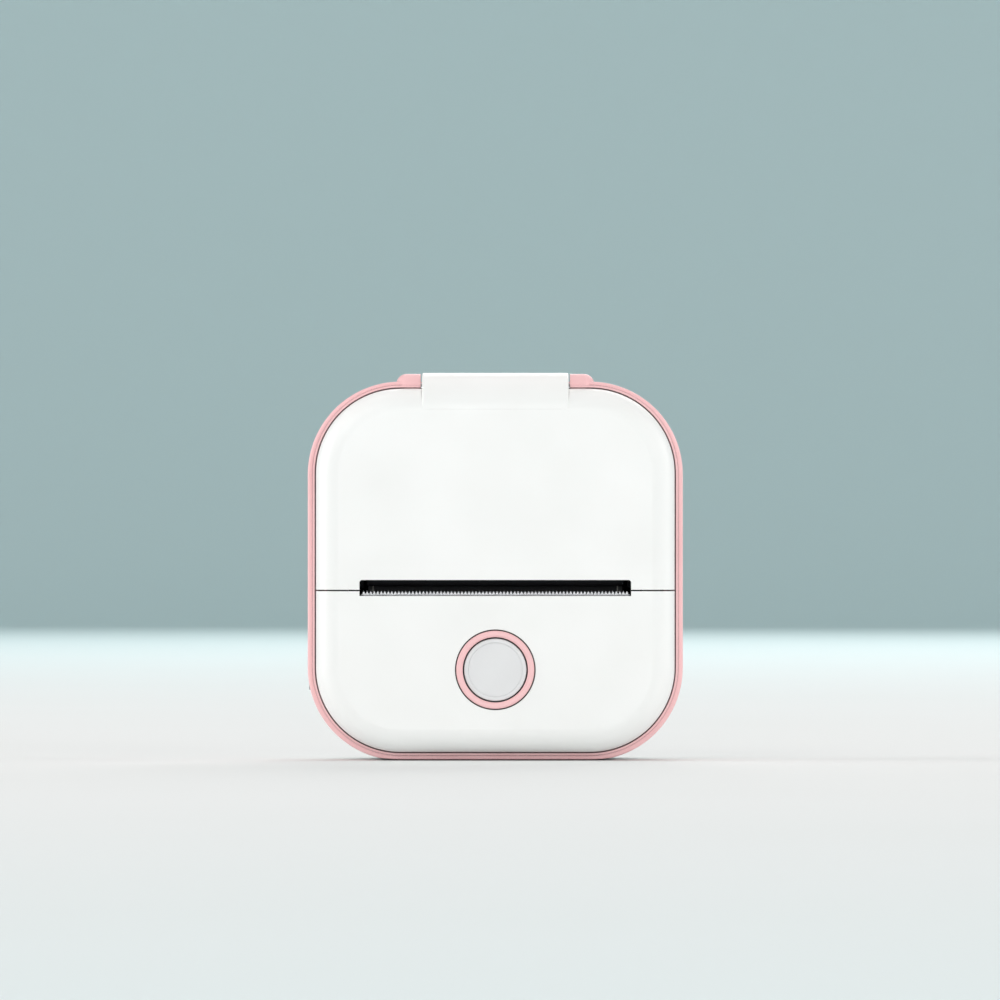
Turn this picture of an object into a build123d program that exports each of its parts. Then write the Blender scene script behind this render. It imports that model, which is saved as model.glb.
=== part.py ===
from build123d import *
import os
from math import cos, pi, radians, sin, tan

# Pocket thermal printer, millimetres. Front faces -Y, +X to the right, +Z up.
# The origin is under the middle of the printer, on the surface that it stands on.

os.makedirs("parts", exist_ok=True)

# Paper roll and the room round it
roll_width = 57.0
roll_diameter = 30.0
core_diameter = 12.5
core_wall = 1.2
roll_side_gap = 0.8
roll_gap = 0.4
bay_wall = 1.2
side_room = 12.75
roll_lead = 0.5
back_room = 4.0
top_room = 8.5
roll_drop = 1.6

# Housing
split_z = 37.4
corner_radius = 20.4
wall = 1.8
seam = 0.3
rim_side = 1.7
rim_bottom = 1.75
rim_top = 1.45
edge_roll = 5.0
shell_depth = 5.7
back_roll = 5.0
lip_width = 0.45
lip_height = 0.6
lip_setback = 0.2
shoulder_round = 0.5
band_depth = 12.2
flange_width = 2.6
flange_thickness = 2.2
groove_depth = 1.4
tongue_depth = 2.6
tongue_wall = 1.0
touch_gap = 0.3

# Lid hinge
hinge_rise = 1.9
hinge_set = 3.4
knuckle_radius = 3.2
lug_radius = 3.0
lug_length = 5.4
lug_round = 2.3
hinge_block_width = 32.2
hinge_gap = 0.3
hinge_roll = 8.0
block_round = 0.4
pin_radius = 1.0
running_gap = 0.05

# Paper sensor
sensor_x = 7.0
sensor_width = 3.6
sensor_length = 2.6

# Paper slot and tear strip
slot_side_gap = 1.3
slot_above = 2.3
slot_below = 1.2
slot_round = 0.6
lip_skin = 0.7
strip_thickness = 0.45
strip_height = 3.3
tooth_pitch = 0.77
tooth_height = 0.75
strip_tip_drop = 0.1

# Roller
platen_radius = 4.0
platen_shaft_radius = 1.5
platen_show = 1.3
hood_clear = 0.6
bush_radius = 2.55
bush_gap = 0.3
hood_gap = 0.8
hood_wall = 1.0
arm_wall = 1.2
arm_gap = 0.6

# Thermal head
head_tilt = 30.0
nip_gap = 0.25
ceramic_margin = 1.5
ceramic_height = 11.5
ceramic_thickness = 0.7
sink_margin = 0.5
sink_height = 14.6
sink_thickness = 2.0
ceramic_drop = 0.6
head_above_nip = 3.6
head_pivot_along = 9.8
head_pivot_deep = 4.2
pivot_radius = 1.0
ear_radius = 1.9
ear_wall = 1.6
spring_radius = 1.9
spring_wire = 0.45
spring_turns = 3.5
spring_spread = 16.0
spring_room = 4.8

# Chassis and gears
cheek_wall = 1.4
cheek_gap = 0.3
gear_module = 0.5
backlash = 0.14
mesh_gap = 0.06
root_share = 0.98
platen_gear_size = 9.0
idler_size = 12.0
small_size = 6.0
large_size = 14.0
pinion_size = 5.0
idler_direction = -25.0
reduction_direction = -70.0
motor_direction = -103.0
large_face = 1.5
small_face = 1.8
gear_side_gap = 0.6
layer_gap = 0.2
stud_radius = 0.8
motor_radius = 7.5
motor_length = 12.3
motor_shaft_radius = 0.75
motor_ear_turn = 20.0
motor_ear_reach = 8.5

# Button and board
button_z = 20.0
ring_outer = 8.6
ring_inner = 7.15
ring_proud = 0.3
button_radius = 6.95
button_clear = 0.25
button_travel = 0.5
board_thickness = 1.2
board_side_room = 12.25
board_shift = 1.0
board_bottom = 6.0
board_top = 28.5
board_corner = 5.0
post_radius = 1.8
stake_radius = 0.8
stake_proud = 0.4
post_inset = 5.0
post_rise = 3.0
board_set = 7.1
switch_side = 6.0
switch_height = 3.3
plunger_radius = 1.7
plunger_height = 0.7
usb_width = 9.0
usb_height = 3.2
usb_length = 7.4
usb_clear = 0.15
radio_width = 12.0
chip_height = 1.0

# Battery and screws
battery_side_room = 21.25
battery_thickness = 9.8
battery_height = 30.0
battery_round = 2.0
pad_margin = 4.0
battery_bottom = 6.5
pad_thickness = 0.3
battery_rib_gap = 1.0
boss_radius = 2.4
pilot_radius = 0.9
screw_head_radius = 2.0
screw_head_height = 1.4
screw_length = 10.0
screw_seat_depth = 12.0
lower_boss_inset = 7.5
lower_boss_angle = -62.0
upper_boss_inset = 7.35
upper_boss_angle = 3.0
boss_lead = 1.6

# Overall size and main places, worked out from the sizes above
roll_radius = roll_diameter / 2
hood_radius = platen_radius + hood_gap
hood_outer = hood_radius + hood_wall
platen_set = ring_proud + wall + hood_clear + hood_outer
slot_width = roll_width + 2 * slot_side_gap
slot_top = split_z + slot_above
slot_bottom = split_z - slot_below
platen_z = slot_top - platen_show + platen_radius
roll_z = platen_z + platen_radius - roll_drop + roll_radius
case_width = roll_width + 2 * side_room
case_depth = platen_set - roll_lead + roll_diameter + back_room
case_height = roll_z + roll_radius + top_room
front_y = -case_depth / 2
back_y = case_depth / 2
platen_y = front_y + platen_set
roll_y = platen_y - roll_lead + roll_radius
face_y = front_y + ring_proud
inner_face_y = face_y + wall
rim_y = face_y + shell_depth
lip_y = rim_y + lip_setback
shoulder_y = lip_y + lip_height
band_rear_y = shoulder_y + band_depth
flange_y = rim_y + touch_gap
flange_rear_y = flange_y + flange_thickness
cover_y = band_rear_y + seam
case_middle_z = case_height / 2
seam_width = case_width - 2 * rim_side
seam_height = case_height - rim_bottom - rim_top
seam_radius = corner_radius - rim_side
seam_middle_z = rim_bottom + seam_height / 2
seam_top = rim_bottom + seam_height
hinge_top = case_height + hinge_rise
axis_z = hinge_top - knuckle_radius
axis_y = rim_y + hinge_set
bay_half = roll_width / 2 + roll_side_gap
bay_radius = roll_radius + roll_gap
cheek_inner = bay_half + bay_wall + cheek_gap
cheek_outer = cheek_inner + cheek_wall
arm_outer = cheek_inner - arm_gap
arm_inner = arm_outer - arm_wall
large_x = cheek_outer + gear_side_gap
small_x = large_x + large_face + layer_gap
small_end_x = small_x + small_face
platen_teeth = round(platen_gear_size / gear_module)
idler_teeth = round(idler_size / gear_module)
small_teeth = round(small_size / gear_module)
large_teeth = round(large_size / gear_module)
pinion_teeth = round(pinion_size / gear_module)
board_front_y = face_y + board_set
board_rear_y = board_front_y + board_thickness
board_width = case_width - 2 * board_side_room
battery_width = case_width - 2 * battery_side_room


def at_y(y):
    """The upright plane at this depth; what is drawn on it is extruded towards the front."""
    return Plane.XZ.offset(-y)


def body_outline(inset, mode=Mode.ADD):
    """The casing's rounded square, this much smaller all round."""
    with Locations((0, case_middle_z)):
        RectangleRounded(case_width - 2 * inset, case_height - 2 * inset, corner_radius - inset, mode=mode)


def rim_outline(inset, mode=Mode.ADD):
    """The rounded square of the seam round the white front, this much smaller all round."""
    with Locations((0, seam_middle_z)):
        RectangleRounded(seam_width - 2 * inset, seam_height - 2 * inset, seam_radius - inset, mode=mode)


def block(low, high, mode=Mode.ADD):
    """A straight block between two opposite corners."""
    size = [high[i] - low[i] for i in range(3)]
    middle = [(high[i] + low[i]) / 2 for i in range(3)]
    with Locations(tuple(middle)):
        Box(*size, mode=mode)


def rod(radius, x_low, x_high, y, z, mode=Mode.ADD):
    """A round bar along X."""
    with Locations(((x_low + x_high) / 2, y, z)):
        Cylinder(radius, x_high - x_low, rotation=(0, 90, 0), mode=mode)


def post(radius, x, z, y_low, y_high, mode=Mode.ADD):
    """A round bar along Y."""
    with Locations((x, (y_low + y_high) / 2, z)):
        Cylinder(radius, y_high - y_low, rotation=(90, 0, 0), mode=mode)


# Thermal head's own frame: x along the roller, y up the plate, z towards the roller
head_normal = (0, -cos(radians(head_tilt)), sin(radians(head_tilt)))
nip = (0, platen_y - platen_radius * head_normal[1], platen_z - platen_radius * head_normal[2])
head_plane = Plane(origin=nip, x_dir=(1, 0, 0), z_dir=head_normal)


def head_point(along, out):
    """Depth and height of a point given up the head's plate and out of it."""
    spot = head_plane.from_local_coords(Vector(0, along, out))
    return spot.Y, spot.Z


def head_level(along, depth):
    """A plane parallel to the head's plate, this far up it and this far behind the roller's surface."""
    return Plane(origin=head_plane.from_local_coords((0, along, -depth)), x_dir=(1, 0, 0), z_dir=head_normal)


def boss_spots():
    """Middle of each screw boss, and a point towards the case wall, for the four corners."""
    spots = []
    for side in (-1, 1):
        for corner_z, inset, angle in (
            (corner_radius, lower_boss_inset, lower_boss_angle),
            (case_height - corner_radius, upper_boss_inset, upper_boss_angle),
        ):
            corner_x = case_width / 2 - corner_radius
            along = (cos(radians(angle)), sin(radians(angle)))
            reach = corner_radius - inset
            wall_reach = corner_radius - wall - pilot_radius
            boss = (side * (corner_x + reach * along[0]), corner_z + reach * along[1])
            root = (side * (corner_x + wall_reach * along[0]), corner_z + wall_reach * along[1])
            spots.append((boss, root))
    return spots


# White front, made whole and then parted into lid and lower panel
with BuildPart() as front_core:
    with BuildSketch(at_y(rim_y)):
        rim_outline(seam / 2 + wall)
    extrude(amount=shell_depth - wall)
    fillet(front_core.faces().sort_by(Axis.Y)[0].edges(), edge_roll - wall)

with BuildPart() as front_shell:
    with BuildSketch(at_y(rim_y)):
        rim_outline(seam / 2)
    extrude(amount=shell_depth)
    fillet(front_shell.faces().sort_by(Axis.Y)[0].edges(), edge_roll)
    add(front_core.part, mode=Mode.SUBTRACT)

# Hinge block that rolls over the top of the lid, with the knuckle behind it
with BuildPart() as hinge_block:
    with BuildSketch(Plane.YZ):
        with BuildLine():
            roll_start = (face_y, hinge_top - hinge_roll)
            roll_end = (face_y + hinge_roll, hinge_top)
            RadiusArc(roll_start, roll_end, hinge_roll)
            under_z = seam_top - seam / 2 - wall
            Polyline(
                roll_end,
                (axis_y, hinge_top),
                (axis_y, under_z),
                (inner_face_y, under_z),
                (inner_face_y, hinge_top - hinge_roll),
                roll_start,
            )
        make_face()
        with Locations((axis_y, axis_z)):
            Circle(knuckle_radius)
    extrude(amount=hinge_block_width / 2, both=True)
    end_faces = hinge_block.faces().filter_by(Axis.X)
    fillet(end_faces.edges().filter_by(lambda edge: edge.center().Z > axis_z + block_round), block_round)

# Lid with its hinge block and the notch of the paper slot
with BuildPart() as lid:
    add(front_shell.part)
    split(bisect_by=Plane.XY.offset(split_z + seam / 2), keep=Keep.TOP)
    with BuildSketch(at_y(rim_y)):
        with Locations((0, slot_top - slot_above)):
            Rectangle(slot_width, 2 * slot_above)
    extrude(amount=shell_depth, mode=Mode.SUBTRACT)
    notch_edges = lid.edges().filter_by(Axis.Y).filter_by_position(Axis.Z, slot_top - 0.01, slot_top + 0.01)
    fillet(notch_edges, slot_round)
    add(hinge_block.part)
    block_half = hinge_block_width / 2
    rod(pin_radius + running_gap, -block_half, block_half, axis_y, axis_z, mode=Mode.SUBTRACT)
lid.part.label = "lid"
export_step(lid.part, "parts/lid.step")

# Lower front panel
post_columns = (-board_width / 2 + post_inset, board_width / 2 - post_inset - 4 * board_shift)
panel_posts = [(x, z) for x in post_columns for z in (board_bottom + post_rise, board_top - post_rise)]
with BuildPart() as front_panel:
    add(front_shell.part)
    split(bisect_by=Plane.XY.offset(split_z - seam / 2), keep=Keep.BOTTOM)
    block((-slot_width / 2, face_y - 1, slot_bottom), (slot_width / 2, rim_y, split_z), mode=Mode.SUBTRACT)
    pocket_z = split_z - strip_tip_drop - strip_height - touch_gap
    pocket_low = (-slot_width / 2, face_y + lip_skin, pocket_z)
    block(pocket_low, (slot_width / 2, inner_face_y, split_z), mode=Mode.SUBTRACT)
    post(ring_outer + button_clear, 0, button_z, face_y - 1, rim_y, mode=Mode.SUBTRACT)
    for x, z in panel_posts:
        post(post_radius, x, z, inner_face_y - 0.2, board_front_y)
        post(stake_radius, x, z, board_front_y, board_rear_y + stake_proud)
front_panel.part.label = "front_panel"
export_step(front_panel.part, "parts/front_panel.step")

# Hinge lugs on top of the band
trough_half = hinge_block_width / 2 + hinge_gap
with BuildPart() as lugs:
    for side in (-1, 1):
        low, high = sorted((side * trough_half, side * (trough_half + lug_length)))
        rod(lug_radius, low, high, axis_y, axis_z)
    ends = lugs.edges().filter_by(GeomType.CIRCLE).sort_by(Axis.X)
    fillet([ends[0], ends[-1]], lug_round)

# Pink band round the middle, with the lip, the groove and the hinge lugs
with BuildPart() as mid_frame:
    with BuildSketch(at_y(band_rear_y)):
        body_outline(0)
    extrude(amount=band_rear_y - shoulder_y)
    fillet(mid_frame.faces().sort_by(Axis.Y)[0].edges(), shoulder_round)
    with BuildSketch(at_y(shoulder_y + groove_depth)):
        rim_outline(-seam / 2 - lip_width)
    extrude(amount=groove_depth + lip_height)
    with BuildSketch(at_y(band_rear_y)):
        body_outline(wall)
    extrude(amount=band_rear_y - flange_rear_y, mode=Mode.SUBTRACT)
    with BuildSketch(at_y(flange_rear_y)):
        rim_outline(flange_width)
    extrude(amount=flange_rear_y - lip_y, mode=Mode.SUBTRACT)
    with BuildSketch(at_y(lip_y + groove_depth)):
        rim_outline(-seam / 2)
        rim_outline(seam + 0.1, mode=Mode.SUBTRACT)
    extrude(amount=groove_depth, mode=Mode.SUBTRACT)
    with BuildSketch(at_y(flange_y)):
        rim_outline(seam)
    extrude(amount=flange_y - lip_y, mode=Mode.SUBTRACT)
    add(lugs.part)
    trough_radius = knuckle_radius + touch_gap + 0.1
    block(
        (-trough_half - bay_wall, flange_rear_y, axis_z - trough_radius - bay_wall),
        (trough_half + bay_wall, axis_y + trough_radius + 2 * bay_wall, case_height - wall / 2),
    )
    with BuildSketch(Plane.YZ):
        with Locations((axis_y, axis_z)):
            Circle(trough_radius)
        with Locations(((rim_y - 1 + axis_y) / 2, case_height)):
            Rectangle(axis_y - rim_y + 1, 2 * (case_height - seam_top + flange_width + 0.3))
        with Locations(((rim_y - 1 + axis_y + trough_radius + 0.5) / 2, axis_z + knuckle_radius)):
            Rectangle(axis_y + trough_radius + 0.5 - rim_y + 1, 2 * knuckle_radius)
    extrude(amount=trough_half, both=True, mode=Mode.SUBTRACT)
    pin_end = trough_half + lug_length - lug_round
    rod(pin_radius, -trough_half - lug_length, pin_end, axis_y, axis_z, mode=Mode.SUBTRACT)
    for boss, root in boss_spots():
        web_rear_y = cover_y - tongue_depth - touch_gap
        with BuildSketch(at_y(web_rear_y)):
            with Locations(((boss[0] + root[0]) / 2, (boss[1] + root[1]) / 2)):
                SlotCenterPoint((0, 0), ((root[0] - boss[0]) / 2, (root[1] - boss[1]) / 2), 2 * boss_radius)
        extrude(amount=web_rear_y - flange_rear_y - 3)
        boss_end = back_y - screw_seat_depth - bay_wall - touch_gap - boss_lead
        post(boss_radius, boss[0], boss[1], flange_rear_y + 3, boss_end)
        post(pilot_radius, boss[0], boss[1], boss_end - screw_length, boss_end, mode=Mode.SUBTRACT)
    with BuildSketch(Plane.YZ.offset(-case_width / 2 - 1)):
        with Locations((board_rear_y + usb_height / 2, button_z)):
            port_height = usb_height + 2 * usb_clear
            RectangleRounded(port_height, usb_width + 2 * usb_clear, port_height / 2 - 0.05)
    extrude(amount=wall + 2, mode=Mode.SUBTRACT)
mid_frame.part.label = "mid_frame"
export_step(mid_frame.part, "parts/mid_frame.step")

# White back shell with its screw wells and the tongue that locates it in the band
with BuildPart() as rear_core:
    with BuildSketch(at_y(back_y - wall)):
        body_outline(wall)
    extrude(amount=back_y - wall - cover_y)
    fillet(rear_core.faces().sort_by(Axis.Y)[-1].edges(), back_roll - wall)

with BuildPart() as rear_cover:
    with BuildSketch(at_y(back_y)):
        body_outline(0)
    extrude(amount=back_y - cover_y)
    fillet(rear_cover.faces().sort_by(Axis.Y)[-1].edges(), back_roll)
    add(rear_core.part, mode=Mode.SUBTRACT)
    with BuildSketch(at_y(cover_y + tongue_depth)):
        body_outline(wall)
        body_outline(wall + tongue_wall, mode=Mode.SUBTRACT)
    extrude(amount=tongue_depth)
    with BuildSketch(at_y(cover_y)):
        body_outline(wall + running_gap)
        body_outline(wall + tongue_wall, mode=Mode.SUBTRACT)
    extrude(amount=tongue_depth)
    for side in (-1, 1):
        rib_x = side * (battery_width / 2 + battery_rib_gap)
        block(
            (rib_x - 0.6, back_y - wall - battery_thickness / 2, battery_bottom + 4),
            (rib_x + 0.6, back_y - wall, battery_bottom + battery_height - 4),
        )
    for boss, root in boss_spots():
        seat_y = back_y - screw_seat_depth
        post(boss_radius + 0.5, boss[0], boss[1], seat_y - bay_wall, back_y - 0.5)
        post(screw_head_radius + 0.3, boss[0], boss[1], seat_y, back_y + 1, mode=Mode.SUBTRACT)
        post(pilot_radius + 0.2, boss[0], boss[1], seat_y - bay_wall - 1, seat_y, mode=Mode.SUBTRACT)
rear_cover.part.label = "rear_cover"
export_step(rear_cover.part, "parts/rear_cover.step")

# Case screws, one node for the four
with BuildPart() as case_screws:
    for boss, root in boss_spots():
        seat_y = back_y - screw_seat_depth
        post(screw_head_radius, boss[0], boss[1], seat_y, seat_y + screw_head_height)
        post(pilot_radius - running_gap, boss[0], boss[1], seat_y - screw_length, seat_y)
case_screws.part.label = "case_screws"
export_step(case_screws.part, "parts/case_screws.step")

# Hinge pin
with BuildPart() as hinge_pin:
    rod(pin_radius, -trough_half - lug_length + 0.6, pin_end, axis_y, axis_z)
    chamfer(hinge_pin.edges().filter_by(GeomType.CIRCLE), 0.25)
hinge_pin.part.label = "hinge_pin"
export_step(hinge_pin.part, "parts/hinge_pin.step")

# Lid liner: curtain in front of the roll, hood over the roller and the arms that hold it
curtain_radius = roll_radius + 2.0
curtain_wall = 1.2
curtain_half_height = 9.75
with BuildPart() as lid_liner:
    with BuildSketch(Plane.YZ):
        with Locations((roll_y, roll_z)):
            Circle(curtain_radius + curtain_wall)
            Circle(curtain_radius, mode=Mode.SUBTRACT)
            with Locations((-curtain_radius, 0)):
                Rectangle(curtain_radius, 2 * curtain_half_height, mode=Mode.INTERSECT)
    extrude(amount=arm_inner, both=True)
    with BuildSketch(Plane.YZ):
        with Locations((platen_y, platen_z)):
            Circle(hood_outer)
            Circle(hood_radius, mode=Mode.SUBTRACT)
        with Locations((platen_y + 1.3 + hood_outer, platen_z), (platen_y, slot_top + 0.25 - hood_outer)):
            Rectangle(2 * hood_outer, 2 * hood_outer, mode=Mode.SUBTRACT)
    extrude(amount=arm_inner, both=True)
    curtain_low = roll_z - curtain_half_height
    curtain_high = roll_z + curtain_half_height
    curtain_end_y = roll_y - (curtain_radius ** 2 - curtain_half_height ** 2) ** 0.5
    block(
        (-arm_inner, curtain_end_y - 1.3, platen_z + hood_radius + 0.3),
        (arm_inner, curtain_end_y - 0.1, curtain_low + 0.8),
    )
    for low_z, rear_y in (
        (curtain_high - 0.9, curtain_end_y - 0.2),
        (platen_z + 0.6, platen_y - hood_radius - 0.2),
    ):
        block((-arm_inner, inner_face_y, low_z), (arm_inner, rear_y, low_z + arm_wall))
    for side in (-1, 1):
        low, high = sorted((side * arm_inner, side * arm_outer))
        with BuildSketch(Plane.YZ.offset(low)):
            with Locations((platen_y, platen_z)):
                Circle(hood_outer)
            with Locations((platen_y, platen_z - platen_radius - 0.4 - hood_outer)):
                Rectangle(3 * hood_outer, 2 * hood_outer, mode=Mode.SUBTRACT)
            with Locations((platen_y, platen_z)):
                Circle(bush_radius, mode=Mode.SUBTRACT)
        extrude(amount=high - low)
        for rib_x in (side * arm_inner / 3, side * (arm_inner - 0.6)):
            block(
                (rib_x - 0.6, inner_face_y, curtain_low),
                (rib_x + 0.6, roll_y - curtain_radius - 0.4, curtain_high),
            )
lid_liner.part.label = "lid_liner"
export_step(lid_liner.part, "parts/lid_liner.step")


# Gears
def gear_outline(teeth, phase):
    """Corners of teeth with straight flanks round a middle; phase is the first tooth's direction."""
    pitch_radius = teeth * gear_module / 2
    corners = []
    for tooth in range(teeth):
        middle = phase + 2 * pi * tooth / teeth
        for radius, side in (
            (pitch_radius - 1.25 * gear_module, -1),
            (pitch_radius + gear_module, -1),
            (pitch_radius + gear_module, 1),
            (pitch_radius - 1.25 * gear_module, 1),
        ):
            width = pi * gear_module / 2 - backlash - 2 * (radius - pitch_radius) * tan(radians(20))
            half_angle = min(width / 2 / radius, root_share * pi / teeth)
            angle = middle + side * half_angle
            corners.append((radius * cos(angle), radius * sin(angle)))
    return corners


def meshed_phase(phase, teeth, towards, other_teeth):
    """Direction of the other gear's first tooth when both are in mesh along this direction."""
    return towards + pi + ((towards - phase) * teeth - pi) / other_teeth


def next_centre(centre, direction, teeth, other_teeth):
    """Axis of the gear in mesh with the one at this centre, in the given direction."""
    reach = (teeth + other_teeth) * gear_module / 2 + mesh_gap
    return (centre[0] + reach * cos(radians(direction)), centre[1] + reach * sin(radians(direction)))


platen_centre = (platen_y, platen_z)
idler_centre = next_centre(platen_centre, idler_direction, platen_teeth, idler_teeth)
reduction_centre = next_centre(idler_centre, reduction_direction, idler_teeth, small_teeth)
motor_centre = next_centre(reduction_centre, motor_direction, large_teeth, pinion_teeth)
platen_phase = radians(idler_direction)
idler_phase = meshed_phase(platen_phase, platen_teeth, radians(idler_direction), idler_teeth)
small_phase = meshed_phase(idler_phase, idler_teeth, radians(reduction_direction), small_teeth)
large_phase = small_phase
pinion_phase = meshed_phase(large_phase, large_teeth, radians(motor_direction), pinion_teeth)


def draw_gear(teeth, phase, centre):
    """A gear's face in the sketch that is open."""
    corners = [(centre[0] + y, centre[1] + z) for y, z in gear_outline(teeth, phase)]
    Polygon(*corners, align=None)


# Roller: shaft, rubber, bushes and gear
with BuildPart() as platen_shaft:
    rod(platen_shaft_radius, -cheek_outer - 0.6, small_end_x + 0.4, platen_y, platen_z)
    chamfer(platen_shaft.edges().filter_by(GeomType.CIRCLE), 0.3)
platen_shaft.part.label = "platen_shaft"
export_step(platen_shaft.part, "parts/platen_shaft.step")

platen_half = roll_width / 2 - 0.1
with BuildPart() as platen_rubber:
    rod(platen_radius, -platen_half, platen_half, platen_y, platen_z)
    chamfer(platen_rubber.edges().filter_by(GeomType.CIRCLE), 0.3)
    rod(platen_shaft_radius, -platen_half, platen_half, platen_y, platen_z, mode=Mode.SUBTRACT)
platen_rubber.part.label = "platen_rubber"
export_step(platen_rubber.part, "parts/platen_rubber.step")

with BuildPart() as platen_bushes:
    for side in (-1, 1):
        low, high = sorted((side * (arm_inner + 0.1), side * (cheek_outer + 0.2)))
        rod(bush_radius, low, high, platen_y, platen_z)
        low, high = sorted((side * (arm_outer + 0.05), side * (cheek_inner - 0.15)))
        rod(bush_radius + 0.7, low, high, platen_y, platen_z)
    bore_radius = platen_shaft_radius + running_gap
    rod(bore_radius, -cheek_outer - 1, cheek_outer + 1, platen_y, platen_z, mode=Mode.SUBTRACT)
platen_bushes.part.label = "platen_bushes"
export_step(platen_bushes.part, "parts/platen_bushes.step")

with BuildPart() as platen_gear:
    with BuildSketch(Plane.YZ.offset(small_x)):
        draw_gear(platen_teeth, platen_phase, platen_centre)
        with Locations(platen_centre):
            Circle(platen_shaft_radius, mode=Mode.SUBTRACT)
    extrude(amount=small_face)
platen_gear.part.label = "platen_gear"
export_step(platen_gear.part, "parts/platen_gear.step")

with BuildPart() as idler_gear:
    with BuildSketch(Plane.YZ.offset(small_x)):
        draw_gear(idler_teeth, idler_phase, idler_centre)
        with Locations(idler_centre):
            Circle(stud_radius + running_gap, mode=Mode.SUBTRACT)
    extrude(amount=small_face)
    with BuildSketch(Plane.YZ.offset(cheek_outer + gear_side_gap / 2)):
        with Locations(idler_centre):
            Circle(stud_radius + 0.5)
            Circle(stud_radius + running_gap, mode=Mode.SUBTRACT)
    extrude(amount=small_x - cheek_outer - gear_side_gap / 2)
idler_gear.part.label = "idler_gear"
export_step(idler_gear.part, "parts/idler_gear.step")

with BuildPart() as reduction_gear:
    with BuildSketch(Plane.YZ.offset(large_x)):
        draw_gear(large_teeth, large_phase, reduction_centre)
        with Locations(reduction_centre):
            with PolarLocations(large_teeth * gear_module / 3.2, 5):
                Circle(1.3, mode=Mode.SUBTRACT)
    extrude(amount=large_face)
    with BuildSketch(Plane.YZ.offset(large_x + large_face)):
        draw_gear(small_teeth, small_phase, reduction_centre)
    extrude(amount=layer_gap + small_face)
    rod(stud_radius + running_gap, large_x - 1, small_end_x + 1, *reduction_centre, mode=Mode.SUBTRACT)
reduction_gear.part.label = "reduction_gear"
export_step(reduction_gear.part, "parts/reduction_gear.step")

with BuildPart() as gear_studs:
    for centre in (idler_centre, reduction_centre):
        rod(stud_radius, cheek_inner, small_end_x + 0.3, *centre)
        rod(stud_radius + 0.5, small_end_x + 0.3, small_end_x + 0.8, *centre)
gear_studs.part.label = "gear_studs"
export_step(gear_studs.part, "parts/gear_studs.step")

# Motor, its shaft and pinion
with BuildPart() as drive_motor:
    rod(motor_radius, cheek_inner - motor_length, cheek_inner, *motor_centre)
    chamfer(drive_motor.edges().filter_by(GeomType.CIRCLE).sort_by(Axis.X)[0], 0.5)
    with BuildSketch(Plane.YZ.offset(cheek_inner - 0.8)):
        with Locations(motor_centre):
            SlotCenterToCenter(2 * motor_ear_reach, 4.4, rotation=motor_ear_turn)
            with PolarLocations(motor_ear_reach, 2, start_angle=motor_ear_turn):
                Circle(0.9, mode=Mode.SUBTRACT)
    extrude(amount=0.8)
    rod(2.4, cheek_inner, cheek_outer, *motor_centre)
    rod(motor_shaft_radius + running_gap, cheek_inner - 8, cheek_outer + 1, *motor_centre, mode=Mode.SUBTRACT)
drive_motor.part.label = "drive_motor"
export_step(drive_motor.part, "parts/drive_motor.step")

with BuildPart() as motor_shaft:
    rod(motor_shaft_radius, cheek_inner - 7, large_x + large_face + 0.5, *motor_centre)
motor_shaft.part.label = "motor_shaft"
export_step(motor_shaft.part, "parts/motor_shaft.step")

with BuildPart() as motor_pinion:
    with BuildSketch(Plane.YZ.offset(large_x)):
        draw_gear(pinion_teeth, pinion_phase, motor_centre)
        with Locations(motor_centre):
            Circle(motor_shaft_radius, mode=Mode.SUBTRACT)
    extrude(amount=large_face)
motor_pinion.part.label = "motor_pinion"
export_step(motor_pinion.part, "parts/motor_pinion.step")

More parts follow.
